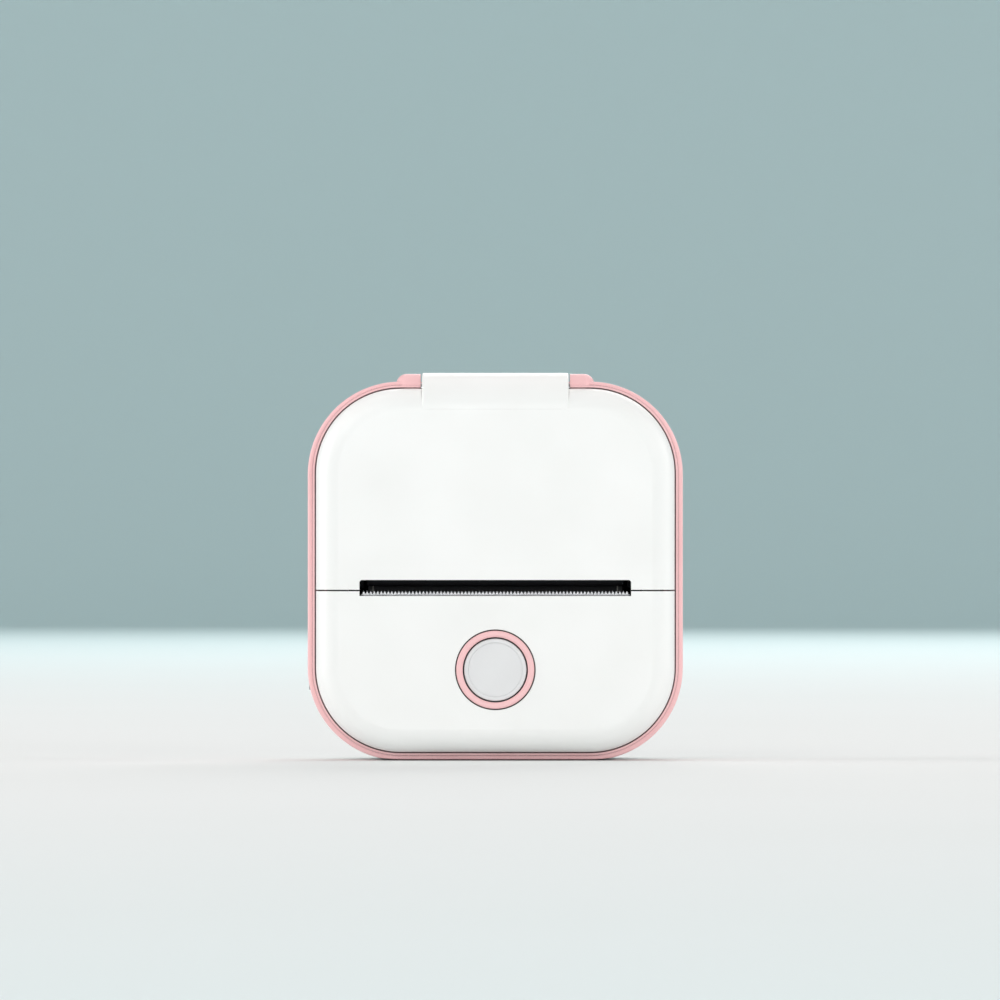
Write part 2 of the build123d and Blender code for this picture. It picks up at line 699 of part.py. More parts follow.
# Chassis: two cheeks with open slots for the roller's bushes, and the plate that backs the head's springs
pivot_y, pivot_z = head_point(-head_pivot_along, -head_pivot_deep)
spring_back = nip_gap + ceramic_thickness + sink_thickness + spring_room
cheek_front_y = rim_y + 0.2
ear_low_z = split_z + 11.6
ear_high_z = ear_low_z + 4.0
cheek_rear_y = reduction_centre[0] + 2.2
cheek_low_z = pivot_z - 2.8
with BuildPart() as print_chassis:
    for side in (-1, 1):
        low, high = sorted((side * cheek_inner, side * cheek_outer))
        with BuildSketch(Plane.YZ.offset(low)):
            with BuildLine():
                Polyline(
                    (cheek_front_y, platen_z - 4.6),
                    (cheek_front_y, platen_z + 4.2),
                    (flange_rear_y, ear_low_z - 1),
                    (flange_rear_y, ear_high_z),
                    (flange_rear_y + 5, ear_high_z),
                    (cheek_rear_y, idler_centre[1] + 2.2),
                    (cheek_rear_y, cheek_low_z),
                    (pivot_y - 2.4, cheek_low_z),
                    close=True,
                )
            make_face()
            if side > 0:
                with Locations(motor_centre):
                    Circle(motor_radius + 0.8)
                    SlotCenterToCenter(2 * motor_ear_reach, 5.2, rotation=motor_ear_turn)
                with Locations(((pivot_y + cheek_rear_y) / 2 + 1.2, (motor_centre[1] + cheek_low_z) / 2 + 1)):
                    Rectangle(9, cheek_low_z - motor_centre[1] + 4)
                with Locations(motor_centre):
                    Circle(2.4, mode=Mode.SUBTRACT)
                    with PolarLocations(motor_ear_reach, 2, start_angle=motor_ear_turn):
                        Circle(0.8, mode=Mode.SUBTRACT)
                with Locations(idler_centre, reduction_centre):
                    Circle(stud_radius, mode=Mode.SUBTRACT)
            with Locations((platen_y, platen_z)):
                Circle(bush_radius + bush_gap, mode=Mode.SUBTRACT)
            with Locations((platen_y - 5, platen_z + 0.2)):
                Rectangle(10, 2 * (bush_radius + bush_gap + 0.15), mode=Mode.SUBTRACT)
            with Locations((pivot_y, pivot_z)):
                Circle(pivot_radius, mode=Mode.SUBTRACT)
        extrude(amount=high - low)
        low, high = sorted((side * cheek_outer, side * (cheek_outer + 6.4)))
        ear_middle = (low + high) / 2 + side
        block((low, flange_rear_y, ear_low_z), (high, flange_rear_y + 1.5, ear_high_z))
        post(0.9, ear_middle, ear_low_z + 2, flange_rear_y - 1, flange_rear_y + 3, mode=Mode.SUBTRACT)
    with BuildSketch(head_level(-0.4, spring_back)):
        Rectangle(2 * cheek_inner, 7.8)
        with GridLocations(20, 0, 3, 1):
            Rectangle(9, 3, mode=Mode.SUBTRACT)
    extrude(amount=-1.4)
print_chassis.part.label = "print_chassis"
export_step(print_chassis.part, "parts/print_chassis.step")

# Thermal head: ceramic strip on an aluminium plate that tilts on a steel pin
sink_width = roll_width - 2 * sink_margin
ceramic_middle = head_above_nip - ceramic_drop - ceramic_height / 2
sink_middle = head_above_nip - sink_height / 2
ceramic_back = nip_gap + ceramic_thickness
sink_back = ceramic_back + sink_thickness


with BuildPart() as head_ceramic:
    with BuildSketch(head_level(ceramic_middle, ceramic_back)):
        Rectangle((roll_width - 2 * ceramic_margin), ceramic_height)
    extrude(amount=ceramic_thickness)
head_ceramic.part.label = "head_ceramic"
export_step(head_ceramic.part, "parts/head_ceramic.step")

with BuildPart() as head_heat_sink:
    with BuildSketch(head_level(sink_middle, sink_back)):
        RectangleRounded(sink_width, sink_height, 0.8)
    extrude(amount=sink_thickness)
    for side in (-1, 1):
        low, high = sorted((side * (sink_width / 2 - 2), side * (sink_width / 2 - 2 - ear_wall)))
        foot_low = head_point(-head_pivot_along - ear_radius, -sink_back + 0.2)
        foot_high = head_point(-head_pivot_along + ear_radius, -sink_back + 0.2)
        pin_low = head_point(-head_pivot_along - ear_radius, -head_pivot_deep)
        pin_high = head_point(-head_pivot_along + ear_radius, -head_pivot_deep)
        with BuildSketch(Plane.YZ.offset(low)):
            Polygon(foot_low, foot_high, pin_high, pin_low, align=None)
            with Locations((pivot_y, pivot_z)):
                Circle(ear_radius)
                Circle(pivot_radius + running_gap, mode=Mode.SUBTRACT)
        extrude(amount=high - low)
head_heat_sink.part.label = "head_heat_sink"
export_step(head_heat_sink.part, "parts/head_heat_sink.step")

with BuildPart() as head_pivot:
    rod(pivot_radius, -cheek_outer, cheek_outer, pivot_y, pivot_z)
head_pivot.part.label = "head_pivot"
export_step(head_pivot.part, "parts/head_pivot.step")

# Springs behind the head, each one wire wound round the line through the nip
with BuildPart() as head_springs:
    for side in (-1, 1):
        coil_level = -spring_back + spring_wire / 2 + running_gap
        start = head_plane.from_local_coords((side * spring_spread, 0, coil_level))
        coil_height = spring_room - spring_wire - 2 * running_gap
        with BuildLine() as coil:
            Helix(coil_height / spring_turns, coil_height, spring_radius, center=start, direction=head_normal)
        with BuildSketch(Plane(origin=coil.line @ 0, z_dir=coil.line % 0)):
            RegularPolygon(spring_wire / 2, 6)
        sweep(path=coil.line, is_frenet=True)
head_springs.part.label = "head_springs"
export_step(head_springs.part, "parts/head_springs.step")

# Black ramp that leads the paper from the head to the slot
guide_top = split_z - 0.8
guide_front_y = face_y + lip_skin + 0.15 + strip_thickness
ramp_gap = 0.45
with BuildPart() as paper_guide:
    with BuildSketch(Plane.YZ):
        with BuildLine():
            top_z = guide_top + 0.35
            along_at_top = (top_z - head_point(0, ramp_gap)[1]) / cos(radians(head_tilt))
            Polyline(
                (guide_front_y, guide_top),
                head_point(along_at_top, ramp_gap),
                head_point(along_at_top - 4.8, ramp_gap),
                (inner_face_y + 0.3, guide_top - 4.0),
                (inner_face_y + 0.3, pocket_z + 0.3),
                (guide_front_y, pocket_z + 0.3),
                close=True,
            )
        make_face()
    extrude(amount=slot_width / 2 - 0.2, both=True)
    for side in (-1, 1):
        low, high = sorted((side * (slot_width / 2 - 0.2), side * cheek_inner))
        block((low, inner_face_y + 1.4, guide_top - 3.6), (high, inner_face_y + 5.2, guide_top - 0.6))
paper_guide.part.label = "paper_guide"
export_step(paper_guide.part, "parts/paper_guide.step")

# Steel tear strip, a row of small teeth along the slot
strip_top = split_z - strip_tip_drop
strip_half = slot_width / 2 - 0.25
strip_y = face_y + lip_skin + 0.15
with BuildPart() as tear_strip:
    with BuildSketch(at_y(strip_y + strip_thickness)):
        with BuildLine():
            count = int(2 * strip_half / tooth_pitch)
            first = -count * tooth_pitch / 2
            root_z = strip_top - tooth_height
            low_z = strip_top - strip_height
            teeth_line = [(-strip_half, low_z), (-strip_half, root_z), (first, root_z)]
            for tooth in range(count):
                teeth_line.append((first + (tooth + 0.5) * tooth_pitch, strip_top))
                teeth_line.append((first + (tooth + 1) * tooth_pitch, root_z))
            Polyline(*teeth_line, (strip_half, root_z), (strip_half, low_z), close=True)
        make_face()
    extrude(amount=strip_thickness)
tear_strip.part.label = "tear_strip"
export_step(tear_strip.part, "parts/tear_strip.step")

# Cradle of the roll
bay_outer = bay_radius + bay_wall
plate_y = flange_rear_y + bay_wall
throat_y = roll_y - 7.0
with BuildPart() as paper_bay:
    with BuildSketch(Plane.YZ):
        with Locations((roll_y, roll_z)):
            Circle(bay_outer)
            with Locations(((plate_y - roll_y) / 2, 0)):
                Rectangle(roll_y - plate_y, 2 * bay_outer)
    extrude(amount=bay_half + bay_wall, both=True)
    with BuildSketch(at_y(plate_y)):
        body_outline(wall + touch_gap)
        with Locations((0, ear_high_z + 1 - case_height)):
            Rectangle(2 * case_width, 2 * case_height, mode=Mode.SUBTRACT)
        with Locations((0, roll_z + bay_outer + case_height)):
            Rectangle(2 * (trough_half + lug_length + 0.7), 2 * case_height, mode=Mode.SUBTRACT)
    extrude(amount=bay_wall)
    with BuildSketch(Plane.YZ):
        with Locations((roll_y, roll_z)):
            Circle(bay_radius)
            with Locations((-roll_radius, 0)):
                Rectangle(2 * roll_radius, 2 * bay_radius)
    extrude(amount=bay_half, both=True, mode=Mode.SUBTRACT)
    with BuildSketch(Plane.YZ):
        throat_low = roll_z - bay_outer - 1
        Polygon(
            (rim_y, throat_low),
            (throat_y, throat_low),
            (throat_y, roll_z - bay_radius + 0.4),
            (throat_y - 4.6, ear_low_z + 1),
            (rim_y, ear_low_z + 1),
            align=None,
        )
    extrude(amount=bay_half + bay_wall + 1, both=True, mode=Mode.SUBTRACT)
    window_low = (sensor_x - sensor_width / 2 - 0.2, throat_y + 1.5, roll_z - bay_outer - 1)
    window_high = (sensor_x + sensor_width / 2 + 0.2, throat_y + 1.9 + sensor_length, roll_z - bay_radius + 1)
    block(window_low, window_high, mode=Mode.SUBTRACT)
paper_bay.part.label = "paper_bay"
export_step(paper_bay.part, "parts/paper_bay.step")

# Paper roll on its tube
with BuildPart() as paper_roll:
    rod(roll_radius, -roll_width / 2, roll_width / 2, roll_y, roll_z)
    rod(core_diameter / 2, -roll_width / 2, roll_width / 2, roll_y, roll_z, mode=Mode.SUBTRACT)
paper_roll.part.label = "paper_roll"
export_step(paper_roll.part, "parts/paper_roll.step")

with BuildPart() as paper_core:
    rod(core_diameter / 2, -roll_width / 2, roll_width / 2, roll_y, roll_z)
    rod(core_diameter / 2 - core_wall, -roll_width / 2, roll_width / 2, roll_y, roll_z, mode=Mode.SUBTRACT)
paper_core.part.label = "paper_core"
export_step(paper_core.part, "parts/paper_core.step")

# Paper sensor in its window under the roll
with BuildPart() as paper_sensor:
    block(
        (sensor_x - sensor_width / 2, throat_y + 1.7, roll_z - bay_outer - 1.2),
        (sensor_x + sensor_width / 2, throat_y + 1.7 + sensor_length, roll_z - bay_radius - 0.2),
    )
paper_sensor.part.label = "paper_sensor"
export_step(paper_sensor.part, "parts/paper_sensor.step")

# Button: ring fixed in the panel, cap that travels in it
with BuildPart() as button_ring:
    post(ring_outer, 0, button_z, front_y, inner_face_y)
    post(ring_outer + 1, 0, button_z, inner_face_y, inner_face_y + 0.7)
    post(ring_inner, 0, button_z, front_y - 1, inner_face_y + 2, mode=Mode.SUBTRACT)
    ring_front = button_ring.edges().filter_by(GeomType.CIRCLE).group_by(Axis.Y)[0]
    fillet(ring_front, 0.45)
button_ring.part.label = "button_ring"
export_step(button_ring.part, "parts/button_ring.step")

cap_y = face_y + 0.2
cap_flange_y = inner_face_y + 0.7 + touch_gap
plunger_y = board_front_y - switch_height - plunger_height
with BuildPart() as button_cap:
    post(button_radius, 0, button_z, cap_y, cap_flange_y + 0.8)
    post(button_radius + 0.9, 0, button_z, cap_flange_y, cap_flange_y + 0.8)
    post(button_radius - 1.2, 0, button_z, cap_y + 1.4, cap_flange_y + 1, mode=Mode.SUBTRACT)
    post(1.5, 0, button_z, cap_y + 1.2, plunger_y)
    cap_front = button_cap.edges().filter_by(GeomType.CIRCLE).group_by(Axis.Y)[0]
    fillet(cap_front, 0.4)
    post(button_radius - 1.0, 0, button_z, cap_y - 1, cap_y + 0.12, mode=Mode.SUBTRACT)
button_cap.part.label = "button_cap"
export_step(button_cap.part, "parts/button_cap.step")

with BuildPart() as switch_plunger:
    post(plunger_radius, 0, button_z, plunger_y, plunger_y + plunger_height + 0.8)
switch_plunger.part.label = "switch_plunger"
export_step(switch_plunger.part, "parts/switch_plunger.step")

with BuildPart() as power_switch:
    block(
        (-switch_side / 2, board_front_y - switch_height, button_z - switch_side / 2),
        (switch_side / 2, board_front_y, button_z + switch_side / 2),
    )
    well_y = plunger_y + plunger_height + 0.8 + button_travel + 0.2
    post(plunger_radius + running_gap, 0, button_z, plunger_y, well_y, mode=Mode.SUBTRACT)
power_switch.part.label = "power_switch"
export_step(power_switch.part, "parts/power_switch.step")

# Circuit board, with a tab that carries the charging socket
board_left = -board_width / 2 - board_shift
board_right = board_width / 2 - board_shift
tab_left = -case_width / 2 + 5.8
with BuildPart() as main_board:
    with BuildSketch(at_y(board_rear_y)):
        with Locations(((board_left + board_right) / 2, (board_bottom + board_top) / 2)):
            RectangleRounded(board_right - board_left, board_top - board_bottom, board_corner)
        with Locations(((tab_left + board_left) / 2 + 1, button_z)):
            Rectangle(board_left - tab_left + 2, usb_width + 1.5)
        with Locations(*panel_posts):
            Circle(stake_radius + running_gap, mode=Mode.SUBTRACT)
    extrude(amount=board_thickness)
main_board.part.label = "main_board"
export_step(main_board.part, "parts/main_board.step")

# USB-C socket, a rounded steel shell with its tongue, opening on the left side
socket_left = -case_width / 2 + 0.3
with BuildPart() as usb_socket:
    with BuildSketch(Plane.YZ.offset(socket_left)):
        with Locations((board_rear_y + usb_height / 2, button_z)):
            RectangleRounded(usb_height, usb_width, usb_height / 2 - 0.05)
            RectangleRounded(usb_height - 0.6, usb_width - 0.6, usb_height / 2 - 0.35, mode=Mode.SUBTRACT)
    extrude(amount=usb_length)
    with BuildSketch(Plane.YZ.offset(socket_left + usb_length - 1.0)):
        with Locations((board_rear_y + usb_height / 2, button_z)):
            RectangleRounded(usb_height - 0.4, usb_width - 0.4, usb_height / 2 - 0.25)
    extrude(amount=0.8)
    with BuildSketch(Plane.YZ.offset(socket_left + 0.9)):
        with Locations((board_rear_y + usb_height / 2, button_z)):
            Rectangle(0.7, usb_width - 2.3)
    extrude(amount=usb_length - 1.6)
usb_socket.part.label = "usb_socket"
export_step(usb_socket.part, "parts/usb_socket.step")

# Parts on the board, side by side from the left
radio_left = board_left + post_inset + 2.5
radio_right = radio_left + radio_width
with BuildPart() as radio_module:
    block((radio_left, board_rear_y, 9), (radio_right, board_rear_y + 1.8, 25))
radio_module.part.label = "radio_module"
export_step(radio_module.part, "parts/radio_module.step")

with BuildPart() as driver_chips:
    for reach, z, side in ((6.5, 19, 7), (16.5, 21, 5), (15.5, 11, 4), (4.5, 10, 3)):
        with Locations((radio_right + reach, board_rear_y + chip_height / 2, z)):
            Box(side, chip_height, side)
driver_chips.part.label = "driver_chips"
export_step(driver_chips.part, "parts/driver_chips.step")

with BuildPart() as battery_connector:
    jack_left = radio_right + 20
    block((jack_left, board_rear_y, 12), (jack_left + 5, board_rear_y + 3.6, 17.5))
    mouth_low = (jack_left + 0.5, board_rear_y + 0.9, 14)
    block(mouth_low, (jack_left + 4.5, board_rear_y + 3.0, 18), mode=Mode.SUBTRACT)
battery_connector.part.label = "battery_connector"
export_step(battery_connector.part, "parts/battery_connector.step")

flex_half = 9.0
with BuildPart() as head_connector:
    block(
        (-flex_half - 1.5, board_front_y - 1.5, board_top - 3.2),
        (flex_half + 1.5, board_front_y, board_top - 0.6),
    )
head_connector.part.label = "head_connector"
export_step(head_connector.part, "parts/head_connector.step")

# Ribbon from the board to the lower edge of the head
flex_y = board_front_y - 0.8
flex_top = head_point(head_above_nip - sink_height + 3.6, 0.15)
flex_thickness = 0.2
with BuildPart() as head_flex:
    with BuildSketch(Plane.YZ):
        with BuildLine() as ribbon:
            FilletPolyline(
                (flex_y, board_top - 0.6),
                (flex_y, board_top + 1.2),
                flex_top,
                radius=0.8,
            )
        trace(ribbon.line, flex_thickness)
    extrude(amount=flex_half, both=True)
head_flex.part.label = "head_flex"
export_step(head_flex.part, "parts/head_flex.step")

# Battery on its adhesive pad against the back shell
battery_back_y = back_y - wall - pad_thickness
with BuildPart() as battery:
    block(
        (-battery_width / 2, battery_back_y - battery_thickness, battery_bottom),
        (battery_width / 2, battery_back_y, battery_bottom + battery_height),
    )
    fillet(battery.edges().filter_by(Axis.Z), battery_round)
battery.part.label = "battery"
export_step(battery.part, "parts/battery.step")

with BuildPart() as battery_pad:
    block(
        (-battery_width / 2 + pad_margin, battery_back_y, battery_bottom + pad_margin),
        (battery_width / 2 - pad_margin, back_y - wall, battery_bottom + battery_height - pad_margin),
    )
battery_pad.part.label = "battery_pad"
export_step(battery_pad.part, "parts/battery_pad.step")
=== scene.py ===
import math

import bmesh
import bpy
from mathutils import Matrix, Vector


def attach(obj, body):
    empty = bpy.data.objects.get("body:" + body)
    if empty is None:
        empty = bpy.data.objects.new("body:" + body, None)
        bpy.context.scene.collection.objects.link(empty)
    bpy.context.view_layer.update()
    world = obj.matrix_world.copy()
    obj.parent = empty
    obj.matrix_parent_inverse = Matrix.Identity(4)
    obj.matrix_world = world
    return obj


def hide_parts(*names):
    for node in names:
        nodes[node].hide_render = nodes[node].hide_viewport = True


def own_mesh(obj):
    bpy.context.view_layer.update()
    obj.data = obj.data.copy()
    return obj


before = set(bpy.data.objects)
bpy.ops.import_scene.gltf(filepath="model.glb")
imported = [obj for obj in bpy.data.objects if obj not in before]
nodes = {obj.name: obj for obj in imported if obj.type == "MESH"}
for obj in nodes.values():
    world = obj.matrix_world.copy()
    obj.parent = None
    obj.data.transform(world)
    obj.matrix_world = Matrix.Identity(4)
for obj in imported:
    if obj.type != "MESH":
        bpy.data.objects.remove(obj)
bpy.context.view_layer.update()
print("frame loaded:", len(nodes), "nodes")

scene = bpy.context.scene
scene.view_settings.view_transform = "Standard"
mm = 0.001

# Places taken from the CAD, in metres
rollAxis = Vector((0, 2.0 * mm, 59.8 * mm))
nip = Vector((0, -9.0359 * mm, 40.4 * mm))
headLean = math.radians(30)  # of the print head, from upright
headNormal = Vector((0, -math.cos(headLean), math.sin(headLean)))
headUp = Vector((0, math.sin(headLean), math.cos(headLean)))
# The middle of the charging socket's tongue, and half the room round it that is painted black
usbTongue = {"y": -10.8 * mm, "z": 20 * mm, "halfThick": 0.6 * mm, "halfTall": 3.6 * mm}

# The painted shade drawn as dark lines in the gaps: how far it looks for a neighbour, how open a point is
# where the shade is full and gone
paintedShadeReach = 0.8 * mm
paintedShadeLimits = {"seam": (0.34, 0.62), "footShade": (0.56, 0.84)}


def linearColour(hexCode):
    # sRGB hex to the linear values that shaders take
    values = [int(hexCode[i:i + 2], 16) / 255 for i in (1, 3, 5)]
    return [v / 12.92 if v <= 0.04045 else ((v + 0.055) / 1.055) ** 2.4 for v in values] + [1.0]


def addNode(tree, kind, settings=None, values=None, links=None):
    node = tree.nodes.new(kind)
    for name, value in (settings or {}).items():
        setattr(node, name, value)
    for name, value in (values or {}).items():
        node.inputs[name].default_value = value
    for name, socket in (links or {}).items():
        tree.links.new(socket, node.inputs[name])
    return node


def newMaterial(name, **shaderValues):
    # a material with one Principled shader, and the piece's own coordinates in metres
    material = bpy.data.materials.new(name)
    material.use_nodes = True
    tree = material.node_tree
    tree.nodes.clear()
    shader = addNode(tree, "ShaderNodeBsdfPrincipled", values=shaderValues)
    addNode(tree, "ShaderNodeOutputMaterial", links={"Surface": shader.outputs[0]})
    place = addNode(tree, "ShaderNodeTexCoord").outputs["Object"]
    return material, tree, shader, place


def noise(tree, place, cell, detail, distortion=0.0):
    # cell is the size of the pattern in metres
    values = {"Scale": 1 / cell, "Detail": detail, "Distortion": distortion}
    return addNode(tree, "ShaderNodeTexNoise", values=values, links={"Vector": place})


def tint(tree, first, second, amount):
    # between two hex colours
    ends = {6: linearColour(first), 7: linearColour(second)}
    return addNode(tree, "ShaderNodeMix", {"data_type": "RGBA"}, ends, {0: amount})


def paint(tree, shader, colour):
    tree.links.new(colour.outputs[2], shader.inputs["Base Color"])


def gloss(tree, shader, low, high, amount):
    ends = {"To Min": low, "To Max": high}
    rough = addNode(tree, "ShaderNodeMapRange", values=ends, links={"Value": amount})
    tree.links.new(rough.outputs[0], shader.inputs["Roughness"])


def relief(tree, shader, strength, depth, height):
    size = {"Strength": strength, "Distance": depth}
    bump = addNode(tree, "ShaderNodeBump", values=size, links={"Height": height})
    tree.links.new(bump.outputs[0], shader.inputs["Normal"])


def paintShadeWhereShut(tree, colour, dark, limits):
    # painted shade: a dark line laid where two pieces nearly touch, fuller the more shut in a point is; real
    # gaps come out paler than the photograph's lines
    shut = addNode(tree, "ShaderNodeAmbientOcclusion", {"samples": 6}, {"Distance": paintedShadeReach})
    gate = addNode(tree, "ShaderNodeMapRange", values={"From Min": limits[0], "From Max": limits[1]},
                   links={"Value": shut.outputs["AO"]})
    return addNode(tree, "ShaderNodeMix", {"data_type": "RGBA"}, {6: linearColour(dark)},
                   {0: gate.outputs[0], 7: colour.outputs[2]})


def wear(nodeNames, material):
    for nodeName in nodeNames:
        piece = nodes[nodeName]
        if not piece.material_slots:
            piece.data.materials.append(material)
        for slot in piece.material_slots:
            slot.material = material


# Moulded plastics. A steel mould, spark-eroded or polished, leaves a very fine grain in the skin,
# and the melt cools unevenly, so colour and gloss drift a little over a centimetre or two.
def mouldedPlastic(name, look):
    material, tree, shader, place = newMaterial(name, IOR=look.get("ior", 1.53))
    drift = noise(tree, place, look["driftMm"] * mm, 2.0)
    colour = tint(tree, look["colour"], look["shade"], drift.outputs["Fac"])
    if "seam" in look:  # painted shade in the gaps, drawn darker than the gaps alone would look, to match the photograph's lines
        colour = paintShadeWhereShut(tree, colour, look["seam"], paintedShadeLimits["seam"])
    paint(tree, shader, colour)
    grain = noise(tree, place, look["grainMm"] * mm, 3.0)
    mix = addNode(tree, "ShaderNodeMath", {"operation": "MULTIPLY_ADD"}, {1: 0.5},
                  {0: grain.outputs["Fac"], 2: drift.outputs["Fac"]})
    rough = addNode(tree, "ShaderNodeMapRange",
                    values={"From Min": 0.5, "From Max": 1.0, "To Min": look["rough"][0],
                            "To Max": look["rough"][1]},
                    links={"Value": mix.outputs[0]})
    tree.links.new(rough.outputs[0], shader.inputs["Roughness"])
    edge = addNode(tree, "ShaderNodeBevel", {"samples": 4}, {"Radius": look["edgeMm"] * mm})
    bump = addNode(tree, "ShaderNodeBump", values={"Strength": look["bump"], "Distance": 0.02 * mm},
                   links={"Height": grain.outputs["Fac"], "Normal": edge.outputs[0]})
    tree.links.new(bump.outputs[0], shader.inputs["Normal"])
    shader.inputs["Specular IOR Level"].default_value = look.get("sheen", 0.5)
    if "glow" in look:  # light that goes a little way into the plastic
        shader.inputs["Subsurface Weight"].default_value = look["glow"]
        shader.inputs["Subsurface Radius"].default_value = [0.8 * mm] * 3
    return material


# Each seam colour below is painted shade, laid in the gaps where the piece nearly touches its neighbour
plastics = {
    "whiteAbs": {  # ABS from a polished mould: an even white with a broad soft sheen
        "nodes": ["lid", "front_panel", "rear_cover"], "colour": "#f5f5f4", "shade": "#f1f1ef",
        "seam": "#1c1a1b", "driftMm": 16, "grainMm": 0.5, "bump": 0.12, "rough": (0.3, 0.4), "edgeMm": 0.14},
    "pinkAbs": {  # the same ABS with a powder-pink pigment, a little more matt
        "nodes": ["mid_frame", "button_ring"], "colour": "#f9c9ca", "shade": "#f5c1c3", "seam": "#241c1e",
        "driftMm": 14, "grainMm": 0.45, "bump": 0.18, "rough": (0.34, 0.46), "edgeMm": 0.12},
    "greyAbs": {  # pale grey key top with a satin face
        "nodes": ["button_cap", "switch_plunger"], "colour": "#e6e6e7", "shade": "#e1e1e2", "seam": "#262425",
        "driftMm": 6, "grainMm": 0.35, "bump": 0.2, "rough": (0.38, 0.5), "edgeMm": 0.12},
    "blackAbs": {  # spark-eroded black: the grain breaks up every highlight
        "nodes": ["lid_liner", "paper_guide", "paper_bay", "print_chassis"], "colour": "#101012",
        "shade": "#18181b", "driftMm": 8, "grainMm": 0.28, "bump": 0.6, "rough": (0.5, 0.68), "edgeMm": 0.1,
        "sheen": 0.22},
    "blackNylon": {  # bearing nylon, smoother and a little waxy
        "nodes": ["platen_bushes", "power_switch", "paper_sensor"], "colour": "#202022", "shade": "#2a2a2c",
        "driftMm": 3, "grainMm": 0.2, "bump": 0.25, "rough": (0.36, 0.46), "edgeMm": 0.08},
    "acetal": {  # natural acetal gears: ivory, waxy, and light goes a little way in
        "nodes": ["platen_gear", "idler_gear", "reduction_gear"], "colour": "#ece7d8", "shade": "#e4dcc8",
        "driftMm": 3, "grainMm": 0.25, "bump": 0.2, "rough": (0.32, 0.42), "edgeMm": 0.05, "ior": 1.48,
        "glow": 0.15},
    "ivoryNylon": {  # connector housings
        "nodes": ["battery_connector", "head_connector"], "colour": "#e9e4d6", "shade": "#e0d9c6",
        "driftMm": 4, "grainMm": 0.2, "bump": 0.25, "rough": (0.38, 0.5), "edgeMm": 0.06},
}
for name, look in plastics.items():
    wear(look["nodes"], mouldedPlastic(name, look))
print("plastics done")


# Metals. Rolling, drawing or plating leaves streaks along one way, so the pattern is stretched along it.
def drawnMetal(name, look):
    material, tree, shader, place = newMaterial(name, Metallic=1.0)
    lay = addNode(tree, "ShaderNodeMapping", values={"Scale": [1 / (s * mm) for s in look["streakMm"]]},
                  links={"Vector": place})
    streak = noise(tree, lay.outputs[0], 1.0, 4.0)
    colour = tint(tree, look["colour"], look["shade"], streak.outputs["Fac"])
    if "footShade" in look:  # painted shade: a dark line at the strip's foot, where it meets the panel, as in the photograph
        colour = paintShadeWhereShut(tree, colour, look["footShade"], paintedShadeLimits["footShade"])
    paint(tree, shader, colour)
    gloss(tree, shader, look["rough"][0], look["rough"][1], streak.outputs["Fac"])
    edge = addNode(tree, "ShaderNodeBevel", {"samples": 4}, {"Radius": 0.05 * mm})
    bump = addNode(tree, "ShaderNodeBump", values={"Strength": 0.25, "Distance": 0.01 * mm},
                   links={"Height": streak.outputs["Fac"], "Normal": edge.outputs[0]})
    tree.links.new(bump.outputs[0], shader.inputs["Normal"])
    return material


# The strip's foot colour is painted shade, laid where the strip meets the panel's lip
metals = {
    "stainlessStrip": {  # rolled stainless for the cutting teeth, streaks along the strip
        "nodes": ["tear_strip"], "colour": "#a3a4a6", "shade": "#86888a", "footShade": "#1a1a1b",
        "streakMm": (6, 0.2, 0.2), "rough": (0.2, 0.36)},
    "groundSteel": {  # ground bright bar: shafts, pins and studs
        "nodes": ["platen_shaft", "motor_shaft", "motor_pinion", "gear_studs", "head_pivot", "hinge_pin"],
        "colour": "#c9cacc", "shade": "#a9abae", "streakMm": (0.15, 1.5, 1.5), "rough": (0.16, 0.3)},
    "zincPlate": {  # drawn steel can with bright zinc plate
        "nodes": ["drive_motor"], "colour": "#bfc1c2", "shade": "#9c9fa1", "streakMm": (5, 0.3, 0.3),
        "rough": (0.26, 0.42)},
    "pressedAluminium": {  # rolled sheet, pressed and left bare
        "nodes": ["head_heat_sink"], "colour": "#d3d4d5", "shade": "#b7b8ba", "streakMm": (8, 0.25, 0.25),
        "rough": (0.3, 0.48)},
    "tinnedShield": {  # tinned can over the radio: soft dull mirror
        "nodes": ["radio_module"], "colour": "#c6c7c8", "shade": "#adafb1", "streakMm": (2, 2, 2),
        "rough": (0.24, 0.4)},
}
for name, look in metals.items():
    wear(look["nodes"], drawnMetal(name, look))
print("metals done")


# Ground rubber of the roller: grit leaves very fine rings round it, and it drinks light
def groundRubber():
    material, tree, shader, place = newMaterial("groundRubber", IOR=1.5, **{"Specular IOR Level": 0.2})
    lay = addNode(tree, "ShaderNodeMapping", values={"Scale": (1 / (0.22 * mm), 1 / (3 * mm), 1 / (3 * mm))},
                  links={"Vector": place})
    rings = noise(tree, lay.outputs[0], 1.0, 3.0)
    colour = tint(tree, "#2b2b2e", "#3f3f43", rings.outputs["Fac"])
    paint(tree, shader, colour)
    gloss(tree, shader, 0.62, 0.82, rings.outputs["Fac"])
    relief(tree, shader, 0.5, 0.03 * mm, rings.outputs["Fac"])
    return material


wear(["platen_rubber"], groundRubber())


# Fired alumina: chalk white and close-grained, with a faint gloss
def firedAlumina():
    material, tree, shader, place = newMaterial("firedAlumina", IOR=1.76)
    grit = noise(tree, place, 0.3 * mm, 4.0)
    colour = tint(tree, "#ebe8e1", "#dfdbd2", grit.outputs["Fac"])
    paint(tree, shader, colour)
    gloss(tree, shader, 0.34, 0.55, grit.outputs["Fac"])
    return material


wear(["head_ceramic"], firedAlumina())


